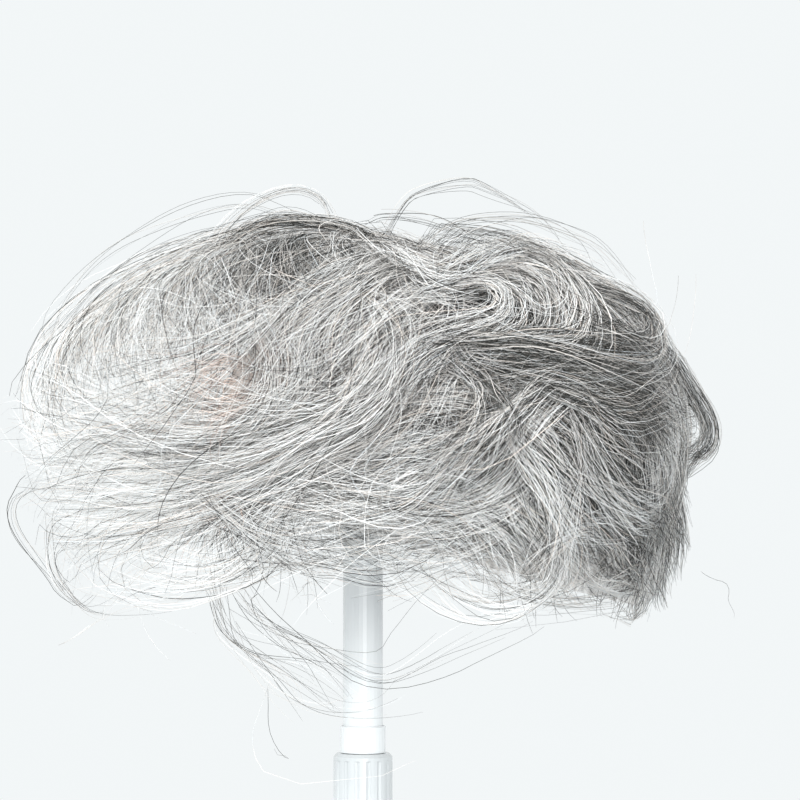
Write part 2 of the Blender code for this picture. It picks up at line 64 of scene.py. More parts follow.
def add_camera():
    """A level camera on -Y. The lens is the sensor's width times the distance, over the width that it should
    see."""
    data = bpy.data.cameras.new("side_camera")
    data.sensor_width = SENSOR
    data.lens = SENSOR * CAMERA_DISTANCE / FRAME_WIDTH
    data.clip_end = 20.0
    camera = bpy.data.objects.new("side_camera", data)
    camera.location = (VIEW_CENTRE[0], -CAMERA_DISTANCE, VIEW_CENTRE[2])
    camera.rotation_euler = (math.radians(90), 0.0, 0.0)
    bpy.context.scene.collection.objects.link(camera)
    bpy.context.scene.camera = camera
    return camera


camera = add_camera()
print("Lens in millimetres:", round(camera.data.lens, 1))

# %% [markdown]
# ## The base and the hair's outer form
#
# Two simple forms guide every strand. One is the domed base that the hair is knotted into, and no strand may
# cut through it. The other is the rounded outside of the styled hair: half an ellipsoid above, and below it a
# skirt that leans in a little. A point can be read as a level, which is 1 on that outside and less within.

# %% The two guiding forms, in millimetres
Dome = namedtuple("Dome", "x z half_length half_width rise skirt lean")
HAIR_FORM = Dome(x=-6.0, z=295.0, half_length=156.0, half_width=113.0, rise=93.0, skirt=83.0, lean=0.20)
CAP_FORM = Dome(x=25.5, z=246.0, half_length=103.5, half_width=78.0, rise=132.0, skirt=83.0, lean=0.20)
# A skirt leans in down to this share of its height, and hangs straight below.
SKIRT_END = 1.2


def shares(points, dome):
    """Each point's three distances from the dome's middle, as shares of its half sizes. Below the middle the
    height counts as nothing, and the half sizes shrink by lean as the skirt goes down."""
    x, y, z = points[..., 0] - dome.x, points[..., 1], points[..., 2] - dome.z
    shrink = 1 - dome.lean * np.clip(-z / dome.skirt, 0, SKIRT_END)
    flat = x / (dome.half_length * shrink), y / (dome.half_width * shrink)
    return np.stack([*flat, np.maximum(z, 0) / dome.rise], -1)


def level_of(points, dome):
    """Each point's level: the length of its three shares."""
    return np.linalg.norm(shares(points, dome), axis=-1)


def to_level(points, dome, factor):
    """Moves points away from the dome's middle by a factor: in all directions above the middle, level below
    it."""
    middle = np.array([dome.x, 0.0, dome.z])
    moved = middle + (points - middle) * factor[..., None]
    moved[..., 2] = np.where(points[..., 2] > dome.z, moved[..., 2], points[..., 2])
    return moved


def off_the_cap(points, gap=1.2):
    """Pushes what lies inside the cap out through it, to a gap in millimetres, and leaves everything else."""
    wanted = 1 + gap / CAP_FORM.half_width
    return to_level(points, CAP_FORM, np.maximum(1.0, wanted / np.maximum(level_of(points, CAP_FORM), 0.3)))


def unit(vectors):
    """Vectors divided by their length."""
    return vectors / np.maximum(np.linalg.norm(vectors, axis=-1, keepdims=True), 1e-9)


def outward(points, dome):
    """The unit direction out of the dome: the shares divided once more by the half sizes."""
    return unit(shares(points, dome) / np.array([dome.half_length, dome.half_width, dome.rise]))


print("Room between cap and form at the sides in millimetres:", HAIR_FORM.half_width - CAP_FORM.half_width)

# %% [markdown]
# ## The locks
#
# Styled hair isn't random: strands run together in locks that arch, curl and cross each other. Each row below
# is one lock as it is seen from the side, from its root to its tip, in millimetres along and up. The depth
# that a side view leaves out is read from the outer form, so the lock wraps round the head.

# %% The table of locks on the near side
COLUMNS = "name out width strands light route"
Lock = namedtuple("Lock", COLUMNS)
# out: 0 lies on the middle plane and 1 on the outer form. width: millimetres. light: 0 is dark hair, 1 is
# white, and 1.6 is a middling grey warmed by painted bounce light from the flesh-toned base behind it.
# Besides the hair's own grey, each lock's light also holds painted light and shade, lighter where dense hair
# would shade itself. route: points of along,up.


def read_locks(table):
    """A lock from each row of a table under its line of headings. A line that starts with a space goes on
    with the row above it."""
    locks = []
    for row in table.replace("\n ", " ").split(COLUMNS)[1].strip().splitlines():
        name, out, width, strands, light, *route = row.split()
        points = [tuple(map(float, point.split(","))) for point in route]
        locks.append(Lock(name, float(out), float(width), int(strands), float(light), points))
    return locks


NEAR_LOCKS = read_locks("""
name out width strands light route
quiff_rim 0.55 12 13 0.45 -13,390 -40,393 -67,387 -91,376 -108,365 -120,352 -124,339 -118,322 -107,309
quiff_second 0.85 16 6 1.0 -11,388 -37,389 -61,383 -84,372 -101,358 -111,345 -110,330 -101,315
quiff_third 0.95 18 6 0.77 -13,384 -35,384 -55,377 -73,366 -88,352 -95,338 -91,323 -81,312
quiff_fourth 0.97 18 7 0.4 -17,382 -34,379 -49,370 -62,357 -72,344 -74,331 -70,319
quiff_fifth 0.97 16 7 0.37 -23,380 -36,374 -45,363 -53,350 -55,338 -51,327
quiff_roots 0.9 20 36 0.0 -15,385 -30,385 -43,377 -50,366 -57,345
quiff_loose_high 0.35 10 6 0.26 -28,393 -51,402 -78,397 -106,383 -122,372 -135,359 -144,345 -144,329 -139,312
quiff_loose_low 0.6 12 6 0.26 -37,388 -69,387 -100,376 -120,362 -134,347 -139,332 -135,320 -126,306
quiff_far_edge 0.3 12 7 0.7 -55,391 -91,380 -123,364 -143,347 -153,332 -159,313 -160,296
arch_front 0.25 9 16 0.26 -8,372 -11,390 -19,403 -36,406 -59,394 -78,370 -85,355 -93,337 -106,319
arch_front_low 0.45 12 18 0.26 -7,372 -11,384 -20,393 -33,397 -47,393 -59,384 -68,370 -74,355 -79,339 -87,326
arch_back 0.2 4 9 0.24 3,377 16,398 25,405 45,410 56,407 78,394 88,384 94,372
arch_back_low 0.3 6 9 0.26 19,372 27,382 46,392 74,393 101,384 112,375 130,352
arch_link 0.35 7 8 0.26 -3,393 9,397 29,394 53,384 71,377
sweep_light 1.04 7 44 0.94 0,372 -16,363 -33,352 -45,343 -68,328 -82,321 -92,318 -105,312 -117,304 -126,301
    -134,292
sweep_second 1.02 9 19 0.69 -15,383 -43,365 -59,352 -76,343 -91,332 -105,323 -118,309 -126,296
sweep_inner 1.0 10 12 0.41 -28,359 -43,349 -59,339 -91,320 -108,310 -126,299 -140,289
curl_outer 1.04 9 82 0.97 10,352 15,341 16,330 11,318 4,308 -10,299 -24,293 -43,283 -63,277 -84,273 -109,269
curl_second 1.03 12 83 1.0 1,353 6,341 5,329 -2,317 -15,306 -31,297 -51,289 -73,283 -96,279 -123,276
curl_third 1.02 12 72 1.0 -39,347 -29,338 -25,328 -26,317 -43,298 -73,285 -96,282 -118,279
curl_inner 1.02 8 50 1.0 -45,341 -40,332 -42,312 -57,297 -71,290 -87,285 -105,283
curl_root 0.95 22 34 0.38 4,380 -15,362 -20,349 -21,337 -18,325 -20,313 -28,303
curl_root_back 0.96 22 40 0.41 11,377 13,366 19,339 18,327 11,314 2,303 -10,294
band_high 1.0 16 50 1.0 -15,308 -37,303 -60,301 -84,299 -109,295 -132,290 -153,284
band_upper 1.0 18 53 1.0 -6,299 -28,294 -53,290 -78,287 -105,285 -129,280 -162,271
band_middle 1.03 14 68 1.0 22,305 12,296 0,289 -16,285 -28,281 -50,274 -64,269 -84,265 -110,262 -136,261
    -150,257
band_lower 0.99 18 58 1.0 30,293 12,286 -6,282 -26,276 -45,269 -64,263 -87,258 -109,255 -132,251 -150,247
band_tips 1.02 9 37 1.0 -59,294 -77,286 -97,289 -117,291 -142,282 -154,267
band_tips_low 1.02 9 35 1.0 -55,285 -86,277 -106,276 -138,270 -160,259
knot_fan_high 1.0 14 90 1.0 -27,279 1,286 35,292 51,292 64,286
knot_fan_low 1.0 14 80 1.0 -26,278 -13,276 21,269 38,267 53,271 64,279 77,304 85,314 96,318 106,313
fan_under 1.02 16 30 1.0 -28,276 -10,268 8,262 26,258 42,251 54,241 63,230
fringe_curl 1.0 8 37 0.97 -25,279 -37,264 -45,245 -66,231 -96,229 -108,233
fringe_loop 1.0 8 12 1.0 -32,265 -34,249 -42,237 -54,229 -84,220 -110,225 -119,231 -123,240 -120,248 -112,255
fringe_fall 0.97 16 49 0.26 -33,273 -56,256 -63,245 -65,234 -61,224
fringe_dark 0.9 16 57 0.0 -28,275 -42,268 -53,260 -59,251 -62,241
fringe_low_left 1.0 18 24 1.0 -51,270 -71,263 -90,255 -107,245 -118,235 -126,226
fringe_mid_left 0.98 18 35 1.0 -64,265 -82,259 -100,253 -119,248 -150,240
fringe_sway 0.98 12 11 0.69 -78,267 -91,257 -100,245 -101,234 -95,225 -84,222
fringe_left_tips 1.0 14 12 1.0 -96,265 -130,254 -144,246 -152,235
under_arc 1.0 8 12 1.0 -42,247 -35,240 -23,236 -10,236 4,232 14,233 31,247 38,265
under_arc_high 0.99 10 14 1.0 -55,238 -39,238 -20,240 -1,238 12,240 24,251 39,271
under_shelf 0.95 12 6 0.94 6,222 26,229 35,235 42,243
mound_top 0.5 16 90 0.57 30,372 48,378 68,380 88,376 105,366 120,355 130,341 137,327 142,310
mound_second 0.8 18 120 0.69 27,369 46,375 67,376 87,370 103,359 117,346 127,330 134,313 136,295
mound_third 0.92 20 120 0.52 30,364 47,369 65,369 82,362 98,350 109,335 117,319 122,301 125,284
mound_fourth 0.96 20 110 0.19 35,357 50,361 64,359 78,351 90,339 99,324 105,308 108,292
crown_roots_back 0.8 22 70 0.95 -6,382 10,382 26,377 39,370 50,361 56,350
curl_back_inner 1.03 9 90 0.92 30,369 45,371 56,367 64,360 66,352 62,344 40,333 27,324 17,311 4,299
curl_back_outer 1.03 9 90 0.8 71,381 83,375 92,365 99,353 99,342 94,334 83,330 66,329 48,330 33,328
curl_back_third 1.02 12 90 0.52 48,374 64,372 76,364 82,353 81,342 71,335 42,331 26,322
curl_side 1.04 8 80 0.49 87,366 105,362 120,357 128,351 131,343 128,336 119,334 89,336
curl_side_low 1.0 12 70 0.03 89,349 102,343 125,330 134,325 139,313
drop_middle 1.0 16 44 0.67 37,369 40,358 37,348 20,326 2,303 -24,285
drop_second 1.0 18 44 0.83 51,355 52,345 45,335 35,325 16,302 3,292 -13,285
side_sweep 0.99 20 130 0.28 17,322 38,327 60,327 80,321 98,312 111,299 120,282 126,263
side_sweep_low 0.99 20 130 0.45 13,308 35,311 56,308 75,301 91,288 104,272 114,257 125,249
side_hook 1.02 8 70 0.66 62,310 72,315 91,319 114,308 128,316 135,324
side_cross 1.01 14 80 0.68 129,331 114,325 98,320 83,312 72,299 64,285 55,274 42,267 26,265 4,267
side_dark 0.96 22 170 0.0 89,332 105,323 117,311 125,295 127,278
side_dark_low 0.88 22 110 0.0 71,302 83,293 94,282 104,267 112,252
u_curl 1.03 7 65 1.0 96,297 102,277 119,259 134,256 140,268 142,278
u_curl_inner 1.02 9 70 0.68 89,311 103,283 123,264 130,263 134,269 135,279
low_arc 1.02 8 42 1.0 71,232 79,242 94,252 101,253 108,249 112,241
low_cup 1.01 8 38 1.0 96,240 101,232 109,227 118,225 125,229 134,249
low_fall 1.0 12 45 1.0 99,299 91,265 86,238 81,228 71,220 60,216
low_loop 1.0 9 28 1.0 89,247 87,232 78,222 65,215 52,214 40,220 32,230 29,241 33,251
low_straight 1.0 16 43 1.0 40,278 67,253 80,239 90,226
low_straight_back 1.0 16 56 0.97 60,286 74,271 88,255 109,227
low_straight_front 0.99 12 14 1.0 27,276 40,262 52,249 62,234 68,222
low_hem 0.97 14 22 0.75 48,238 66,227 85,222 104,221 120,223
back_loop 0.4 8 64 0.12 131,339 141,331 156,308 160,296 158,287 152,282 143,281 132,284 113,303
back_loop_inner 0.45 8 50 0.12 135,332 144,319 155,296 145,283 135,282
tail_back 0.45 12 84 0.83 135,330 143,310 145,290 144,271 139,251 135,232 131,215
tail_middle 0.8 18 100 0.83 130,325 137,305 140,286 139,267 135,247 128,214
tail_front 0.93 18 89 0.94 119,310 128,292 133,274 133,255 130,237 125,210
tail_hem 0.95 14 45 0.51 109,256 118,241 124,229 125,209
thin_loop_front 1.05 4 30 0.26 32,327 41,322 49,315 51,308 50,299 43,279
thin_loop_back 1.05 4 26 0.26 45,329 57,320 63,311 65,299 62,286 54,275
wisp_long 0.9 9 20 0.52 -67,238 -63,220 -55,205 -30,190 -6,171
wisp_long_inner 0.92 9 14 0.52 -55,229 -45,214 -34,202 -21,191 -5,173
wisp_swing 0.95 7 11 0.52 -56,223 -40,212 -23,202 -6,192 8,187 23,191 38,199 67,213 77,222
wisp_swing_low 0.95 6 8 0.52 -59,211 -48,195 -35,183 -18,176 -3,175 11,178 23,185
wisp_front_loop 0.6 12 6 0.52 -145,278 -158,265 -157,251 -143,231 -135,220 -128,225 -127,232
wisp_front_fan 0.7 22 12 0.52 -127,265 -140,251 -143,238 -138,225 -127,217 -111,220 -96,226
curtain_root 1.05 22 117 0.4 -32,388 -45,378 -51,357 -44,334
curtain_first 1.05 22 119 0.58 -43,387 -52,383 -59,375 -63,365 -64,353 -61,341 -54,330
curtain_second 1.05 22 104 1.0 -55,384 -64,379 -72,371 -76,359 -72,336 -66,326
curtain_third 1.05 22 75 0.99 -69,380 -78,374 -89,353 -86,331 -79,322
curtain_fourth 1.05 22 56 1.0 -82,375 -91,367 -99,358 -102,347 -102,336 -98,326 -90,318
curtain_fifth 0.92 22 41 1.0 -96,369 -105,362 -112,352 -115,340 -114,330 -109,320 -100,312
curtain_sixth 0.84 20 38 1.0 -109,362 -118,354 -126,344 -129,333 -127,322 -121,313 -110,306
curtain_seventh 0.7 16 22 1.0 -122,355 -131,347 -138,336 -141,325 -138,315 -131,306 -120,301
curtain_edge 0.5 10 16 0.87 -135,347 -144,338 -150,328 -152,317 -148,307 -141,299 -130,294
root_fan_front 1.04 14 120 0.88 14,379 0,371 -15,359 -27,345 -36,329
root_fan_back 1.04 16 120 0.62 23,375 9,366 -5,353 -18,338 -27,321
mound_rise 0.85 12 50 1.0 18,362 28,373 41,381 57,386 73,385 89,379 102,369
dark_band_high 1.04 14 190 0.0 26,338 50,334 75,331 99,326 121,320 139,312
dark_band_low 1.04 12 170 0.0 48,328 75,322 102,315 127,306 144,295
lower_sweep 1.03 14 84 0.83 64,298 75,285 87,269 106,242
under_fall 1.03 14 44 1.0 -71,274 -59,261 -45,249 -29,240 -10,233
fringe_low 0.85 26 6 1.0 -143,259 -131,244 -115,231 -94,222 -68,218
rim_cover 0.86 20 42 1.0 -45,267 -29,261 -10,254 12,247 35,241 55,238
rim_cover_low 0.92 22 20 1.0 -15,262 8,252 30,243 53,235 75,228
middle_light 1.02 22 92 1.0 48,292 30,278 10,269 -13,265 -33,265 -51,268
middle_light_low 1.0 22 43 1.0 80,278 62,262 39,254 17,251 -6,252
root_fan_low 1.04 15 90 0.88 35,371 22,359 8,345 -6,331 -21,317 -35,308
curl_outer_top 1.04 8 26 0.96 -9,372 10,352 16,330 4,308
middle_rise 1.04 14 90 0.53 91,324 73,316 57,305 43,292 30,280 16,272
tail_curl 0.95 7 17 0.77 130,240 131,226 128,215 121,211 114,216 112,224
quiff_ridge 0.45 9 73 0.34 15,380 -1,389 -20,393 -39,393 -55,388 -80,369 -86,358
dip_cross 1.02 14 60 0.96 4,384 27,369 40,364 54,359
dip_rise 1.03 12 60 1.0 11,349 22,360 45,375 59,379 74,379
glow_high 1.03 22 36 1.6 -47,325 -63,317 -72,312 -79,306
glow_middle 1.03 18 25 1.6 -48,313 -56,310 -65,306 -74,303
glow_low 1.0 10 18 1.6 -53,267 -58,261 -63,257 -68,251
dark_hollow 1.03 12 90 0.0 35,341 54,327 65,319 75,311
""")
print("Locks on the near side:", len(NEAR_LOCKS), "with", sum(lock.strands for lock in NEAR_LOCKS), "strands")

# %% [markdown]
# The crown, the forehead and the nape can't be drawn from the side. Their locks are given as headings and
# heights in degrees, as places on a globe are: heading 0 is the nape and 180 the forehead, and height 90 is
# the top.

# %% The table of locks over the crown, the forehead and the nape
GLOBE_LOCKS = read_locks("""
name out width strands light route
forehead_middle 0.95 34 44 0.8 168,80 174,62 177,44 176,26 170,10 158,2
forehead_inner 0.93 34 44 0.8 150,76 158,60 163,43 164,25 158,8 144,0
forehead_side 0.93 34 32 0.8 132,68 142,53 149,37 151,20 144,4 128,-6
crown_front 0.97 28 50 0.75 170,90 168,82 160,72 160,62 166,50
crown_side 0.97 30 60 0.75 112,90 110,78 109,66 108,54 106,42
crown_middle 0.96 30 80 0.8 88,90 90,75 90,60 86,48 80,36
crown_rear 0.95 30 90 0.62 50,90 46,75 42,60 40,48 38,36
nape_middle 0.93 28 100 0.3 10,76 5,58 4,40 -3,20 6,-5 -4,-28 8,-52
nape_inner 0.93 30 100 0.3 26,72 22,54 20,36 12,16 20,-10 10,-34 22,-54
nape_side 0.94 30 100 0.3 46,64 41,47 37,29 28,10 33,-12 24,-36 36,-56
nape_curl 0.95 30 50 0.4 52,20 40,2 22,-12 10,-24 16,-40 34,-46 46,-38
""")
print("Locks placed as on a globe, each made on both sides:", len(GLOBE_LOCKS))

# %% [markdown]
# ## From a table row to a path in space
#
# A row has a few points, and a strand needs a smooth path. A Catmull-Rom curve goes through all the points of
# a row, and the path is then read off at even steps of its length.

# %% Paths through the rows
PATH_POINTS, STRETCH_STEPS = 64, 16
# Behind its middle the hair is fuller than an ellipsoid, so the share along it is raised to this power there.
FULLER_BEHIND = 2.2
LEAST_DEPTH = 8.0
# The notch between the quiff and the mound behind it: its middle along x, its spread and its depth in
# millimetres.
NOTCH_X, NOTCH_SPREAD, NOTCH_DEPTH = 38, 22, 9.0
# The height where the notch starts, and how far above that it has its depth.
NOTCH_FROM, NOTCH_RAMP = 345, 30


def smooth_path(points):
    """Even steps along a Catmull-Rom curve: each stretch is a cubic of its two ends and their two
    neighbours."""
    points = np.asarray(points, float)
    ends = np.vstack([2 * points[0] - points[1], points, 2 * points[-1] - points[-2]])
    a, b, c, d = (ends[i : len(points) - 1 + i, None] for i in range(4))
    s = np.linspace(0, 1, STRETCH_STEPS, endpoint=False)[None, :, None]
    cubic = 0.5 * (2 * b + (c - a) * s + (2 * a - 5 * b + 4 * c - d) * s**2 + (3 * b - a - 3 * c + d) * s**3)
    curve = np.vstack([cubic.reshape(-1, points.shape[1]), points[-1:]])
    gone = np.concatenate([[0], np.cumsum(np.linalg.norm(np.diff(curve, axis=0), axis=1))])
    steps = np.linspace(0, gone[-1], PATH_POINTS)
    return np.stack([np.interp(steps, gone, axis) for axis in curve.T], 1)


def side_path(lock, side):
    """A path whose depth is the outer form's depth there times out. On the far side, +1, slow waves a few
    millimetres high shift it, so the two sides are no mirror images."""
    drawn = smooth_path(lock.route)
    points = np.stack([drawn[:, 0], np.zeros(PATH_POINTS), drawn[:, 1]], 1)
    if side > 0:
        points[:, 0] += 5 * np.sin(points[:, 2] / 17)
        points[:, 2] += 4 * np.sin(points[:, 0] / 23)
    flat = shares(points, HAIR_FORM)
    below = np.clip((HAIR_FORM.z - points[:, 2]) / HAIR_FORM.skirt, 0, SKIRT_END)
    along = np.where(flat[:, 0] > 0, np.abs(flat[:, 0]) ** FULLER_BEHIND, flat[:, 0])
    depth = np.sqrt(np.maximum(1 - along**2 - flat[:, 2] ** 2, 0.0)) * (1 - HAIR_FORM.lean * below)
    points[:, 1] = side * np.maximum(HAIR_FORM.half_width * depth * lock.out, LEAST_DEPTH)
    return smooth_path(points[::4])


def globe_path(lock, side):
    """A path over the form: the height's sine goes up the rise or down the skirt, its cosine and the heading
    go out."""
    heading, height = np.radians(smooth_path(lock.route)).T
    up = np.sin(height)
    ring = np.where(height > 0, np.cos(height), 1 + HAIR_FORM.lean * up) * lock.out
    return np.stack([
        HAIR_FORM.x + HAIR_FORM.half_length * ring * np.cos(heading),
        HAIR_FORM.half_width * ring * np.sin(heading) * side,
        HAIR_FORM.z + np.where(height > 0, HAIR_FORM.rise, HAIR_FORM.skirt) * up,
    ], 1)


def dipped(points):
    """Lowers the top of the head round the notch: a bell along x, times a ramp up from the height where it
    starts."""
    bell = np.exp(-(((points[..., 0] - NOTCH_X) / NOTCH_SPREAD) ** 2))
    lowered = points.copy()
    lowered[..., 2] -= NOTCH_DEPTH * bell * np.clip((points[..., 2] - NOTCH_FROM) / NOTCH_RAMP, 0, 1.15)
    return lowered


# Free locks stand off the hair or hang out of it. The others are held together and follow the notch.
FREE_NAMES = ("wisp", "arch", "thin", "back_loop", "quiff_loose")
free_locks = [lock for lock in NEAR_LOCKS if lock.name.startswith(FREE_NAMES)]
held_locks = [lock for lock in NEAR_LOCKS if not lock.name.startswith(FREE_NAMES)]
free_paths = np.array([side_path(lock, -1) for lock in free_locks])
held_paths, far_paths = (dipped(np.array([side_path(lock, side) for lock in held_locks])) for side in (-1, 1))
globe_paths = dipped(np.array([globe_path(lock, side) for side in (-1, 1) for lock in GLOBE_LOCKS]))
print("Paths:", len(held_paths), "held,", len(free_paths), "free and", len(globe_paths), "over the globe")

# %% [markdown]
# ## One lock becomes many strands
#
# Strands of one lock gather in a few thinner wisps and part again towards the tip. Every strand has its own
# place across the lock, its own start and end, and its own slight wave. All of this is added to the lock's
# path as whole arrays, with no loop over strands. Below, t is the share of the way from the lock's root to
# its tip.

# %% How far each strand lies off its lock's middle line
rng = np.random.default_rng(20)
FULL_TURN = 2 * np.pi
WISPS = 7
# The share of strands that leave their lock, and how many millimetres away from it they get at most.
LOOSE_SHARE, LEAVE_MOST = 0.55, 45
# What a wisp's strands share, as lowest and highest: the place across the lock, how deep it is sunk, its
# drift to one side towards the tip, and its wave's size in millimetres, turns and start.
WISP_RANGES = ((-1.1, 1.1), (0, 1), (-0.6, 0.6), (0.6, 3.4), (0.6, 1.4), (0, FULL_TURN))


def stretches(count, points):
    """The t of each strand's points: even steps from a late start, mostly a small one, to an early end."""
    start = rng.uniform(0, 0.30, (count, 1)) ** 1.3
    end = 1 - rng.uniform(0, 0.45, (count, 1)) ** 1.6
    return start + (end - start) * np.linspace(0, 1, points)[None]


def offsets(locks, which, t, thick):
    """Millimetres across and out of the lock: half its width times (wisp + own place, opening from the root
    on, + drift + flare at the tip), plus two waves, and a depth that thins to a half. Also how deep each is
    sunk."""
    each = (len(which), 1)
    wisp = rng.integers(0, WISPS, len(which))
    place, sunk, shared, wave, wave_turns, wave_start = (
        rng.uniform(low, high, (len(locks), WISPS))[which, wisp][:, None] for low, high in WISP_RANGES
    )
    own = rng.normal(0, 0.36, each)
    drift = rng.standard_t(4, each) * 0.55 + shared
    flare = rng.normal(0, 1.1, each) * t**3
    opening = 0.45 + 0.55 * np.clip(t / 0.3, 0, 1)
    # Two of the three are used. The third is drawn but not used, and it shifts all the later draws.
    phase = rng.uniform(0, FULL_TURN, (len(which), 3))
    turns = rng.uniform(0.6, 1.9, each)
    swing = rng.gamma(1.8, 0.8, each) * (0.4 + t)
    width = np.array([lock.width for lock in locks], float)[which, None]
    across_by = width / 2 * ((place + own) * opening + np.clip(drift, -2.5, 2.5) * (t - 0.4) + flare)
    across_by += swing * np.sin(FULL_TURN * turns * t + phase[:, :1])
    across_by += wave * np.sin(FULL_TURN * wave_turns * t + wave_start) * np.minimum(3 * t, 1)
    out_by = -thick * (0.75 * sunk + 0.5 * rng.uniform(-0.3, 1, each)) * (1 - 0.5 * t)
    out_by += 0.8 * swing * np.sin(FULL_TURN * turns * t + phase[:, 1:2])
    return across_by, out_by, sunk[:, 0]


def leaving(t, middle, long):
    """Millimetres by which loose strands leave their lock, straight or in a bow, from a quarter of the way
    on: a share of the lock's length, less wild at the back."""
    each = (len(middle), 1)
    wild = np.where(middle[:, 5:6, 0] > 40, 0.17, 0.26)
    leave = rng.normal(0, 1, each) * np.where(rng.random(each) < LOOSE_SHARE, wild, 0.035)
    bow = np.where(rng.random(each) < LOOSE_SHARE, rng.normal(0, 0.25, each), 0)
    return np.clip(long * (leave * (t - 0.25) + bow * (t - 0.25) ** 2), -LEAVE_MOST, LEAVE_MOST)


print("Wisps in the near side's locks:", WISPS * len(held_locks))

# %% Strands along the locks
# The height of the hem, and how far above it the locks begin to feel it.
HEM, HEM_RAMP = 212, 60


def read_path(paths, which, t):
    """The points of the paths at t, between the two nearest stored points."""
    at = np.clip(t, 0, 1) * (paths.shape[1] - 1)
    low = np.minimum(at.astype(int), paths.shape[1] - 2)
    part = (at - low)[..., None]
    return paths[which[:, None], low] * (1 - part) + paths[which[:, None], low + 1] * part


def beside(middle, across_by, out_by):
    """Points beside the middle line. A move across keeps the point's level of the form, and a move out
    changes it. A move down counts less near the hem, and a fifth at it, so the hem stays even."""
    along = unit(np.gradient(middle, axis=1))
    out = outward(middle, HAIR_FORM)
    out = unit(out - (out * along).sum(-1, keepdims=True) * along)
    made = middle + np.cross(along, out) * across_by[..., None]
    change = level_of(middle, HAIR_FORM) / np.maximum(level_of(made, HAIR_FORM), 0.2)
    made = to_level(made, HAIR_FORM, np.clip(change, 0.8, 1.25)) + out * out_by[..., None]
    fall = made[..., 2] - middle[..., 2]
    kept = np.where(fall < 0, np.clip((middle[..., 2] - HEM) / HEM_RAMP, 0.2, 1), 1)
    made[..., 2] = middle[..., 2] + fall * kept
    return off_the_cap(made)


def lock_strands(paths, locks, points, thick=6.5, density=1.0):
    """Strands along the paths, and each one's lightness: its lock's own, with painted shade that makes it
    darker the deeper its wisp is sunk, and painted light that makes it lighter the nearer its wisp lies to the
    outside."""
    which = np.repeat(np.arange(len(locks)), [max(1, round(lock.strands * density)) for lock in locks])
    t = stretches(len(which), points)
    across_by, out_by, sunk = offsets(locks, which, t, thick)
    middle = read_path(paths, which, t)
    long = np.linalg.norm(np.diff(paths, axis=1), axis=2).sum(1)[which, None]
    made = beside(middle, across_by + leaving(t, middle, long), out_by)
    light = np.array([lock.light for lock in locks])[which]
    # Painted shade and light: a deeper wisp is made darker and an outer one lighter, less so in light locks.
    inner = 0.5 * (0.5 - sunk) * (1.2 - light)
    return made, np.where(light > 1, light, np.clip(light + inner, 0, 1))


# The plain greys fill the map's height up to GREYS, and the greys warmed by the base's colour, painted on as
# bounce light, fill a band above it.
GREYS, WARM_FROM, WARM_HEIGHT = 0.86, 0.88, 0.10
# The share of dark strands is the least in white hair, and grows by the rest as the lock gets dark.
LEAST_PEPPER, MORE_PEPPER = 0.17, 0.50


def strand_lightness(light):
    """Salt and pepper: most strands lie near their lock's lightness, and some are dark. A lightness over 1
    asks for the same grey, with the flesh-toned base's warm colour painted onto it as bounce light."""
    grey = np.where(light > 1, light - 1, light)
    pepper = rng.random(len(light)) < LEAST_PEPPER + MORE_PEPPER * (1 - grey) ** 1.1
    main = np.clip(0.60 + 0.45 * grey + rng.normal(0, 0.13, len(light)), 0.02, 0.98)
    share = np.where(pepper, rng.uniform(0.0, 0.30, len(light)), main)
    return np.where(light > 1, WARM_FROM + WARM_HEIGHT * share, GREYS * share)


print("Dark strands among 1000 of a middling lock:", int((strand_lightness(np.full(1000, 0.5)) < 0.27).sum()))

# %% [markdown]
# ## Strands as meshes
#
# A strand is a closed tube with three sides, which is enough for something a quarter of a millimetre thick.
# Real hair is about 0.08 mm. Here it is drawn three times as thick, because a finer one would vanish between
# the pixels. Its map runs along the strand one way, and the other way it holds the strand's lightness, so one
# small picture colours them all.

# %% Tubes round many paths at once
STRAND_DIAMETER = 0.235
COARSE_SHARE = 0.12
SIDES = 3
MAP_NAME = "OFBake"
MAP_STRIP = 0.004


def tube_corners(paths, diameter):
    """Three corners a third of a turn apart round each point, in metres. A few strands are coarse, and each
    is fullest a fifth of the way along and a third as thick at its tip."""
    count, points = paths.shape[:2]
    along = unit(np.gradient(paths, axis=1))
    away = unit(paths - np.array([HAIR_FORM.x, 0.0, HAIR_FORM.z - 20]))
    away = unit(away - (away * along).sum(-1, keepdims=True) * along)
    across = np.cross(along, away)
    coarse = rng.random((count, 1)) < COARSE_SHARE
    size = np.where(coarse, rng.uniform(1.3, 1.8, (count, 1)), rng.uniform(0.7, 1.15, (count, 1)))
    t = np.linspace(0, 1, points)
    size = size * (np.minimum(0.7 + 1.5 * t, 1) * (1 - 0.65 * t**3))
    turn = FULL_TURN / SIDES * np.arange(SIDES)
    ring = np.cos(turn)[:, None] * across[:, :, None] + np.sin(turn)[:, None] * away[:, :, None]
    return (paths[:, :, None] + ring * (diameter / 2 * size)[..., None, None]).reshape(-1, 3) * MM


def tube_faces(first, count, points):
    """Corner numbers of the side faces, which join each ring of corners to the next, and of a triangle at
    each end."""
    at = first + np.arange(count * points * SIDES).reshape(count, points, SIDES)
    nxt = np.roll(at, -1, axis=2)
    sides = np.stack([at[:, :-1], at[:, 1:], nxt[:, 1:], nxt[:, :-1]], -1).reshape(-1, 4)
    return sides, np.concatenate([at[:, 0], at[:, -1, ::-1]])


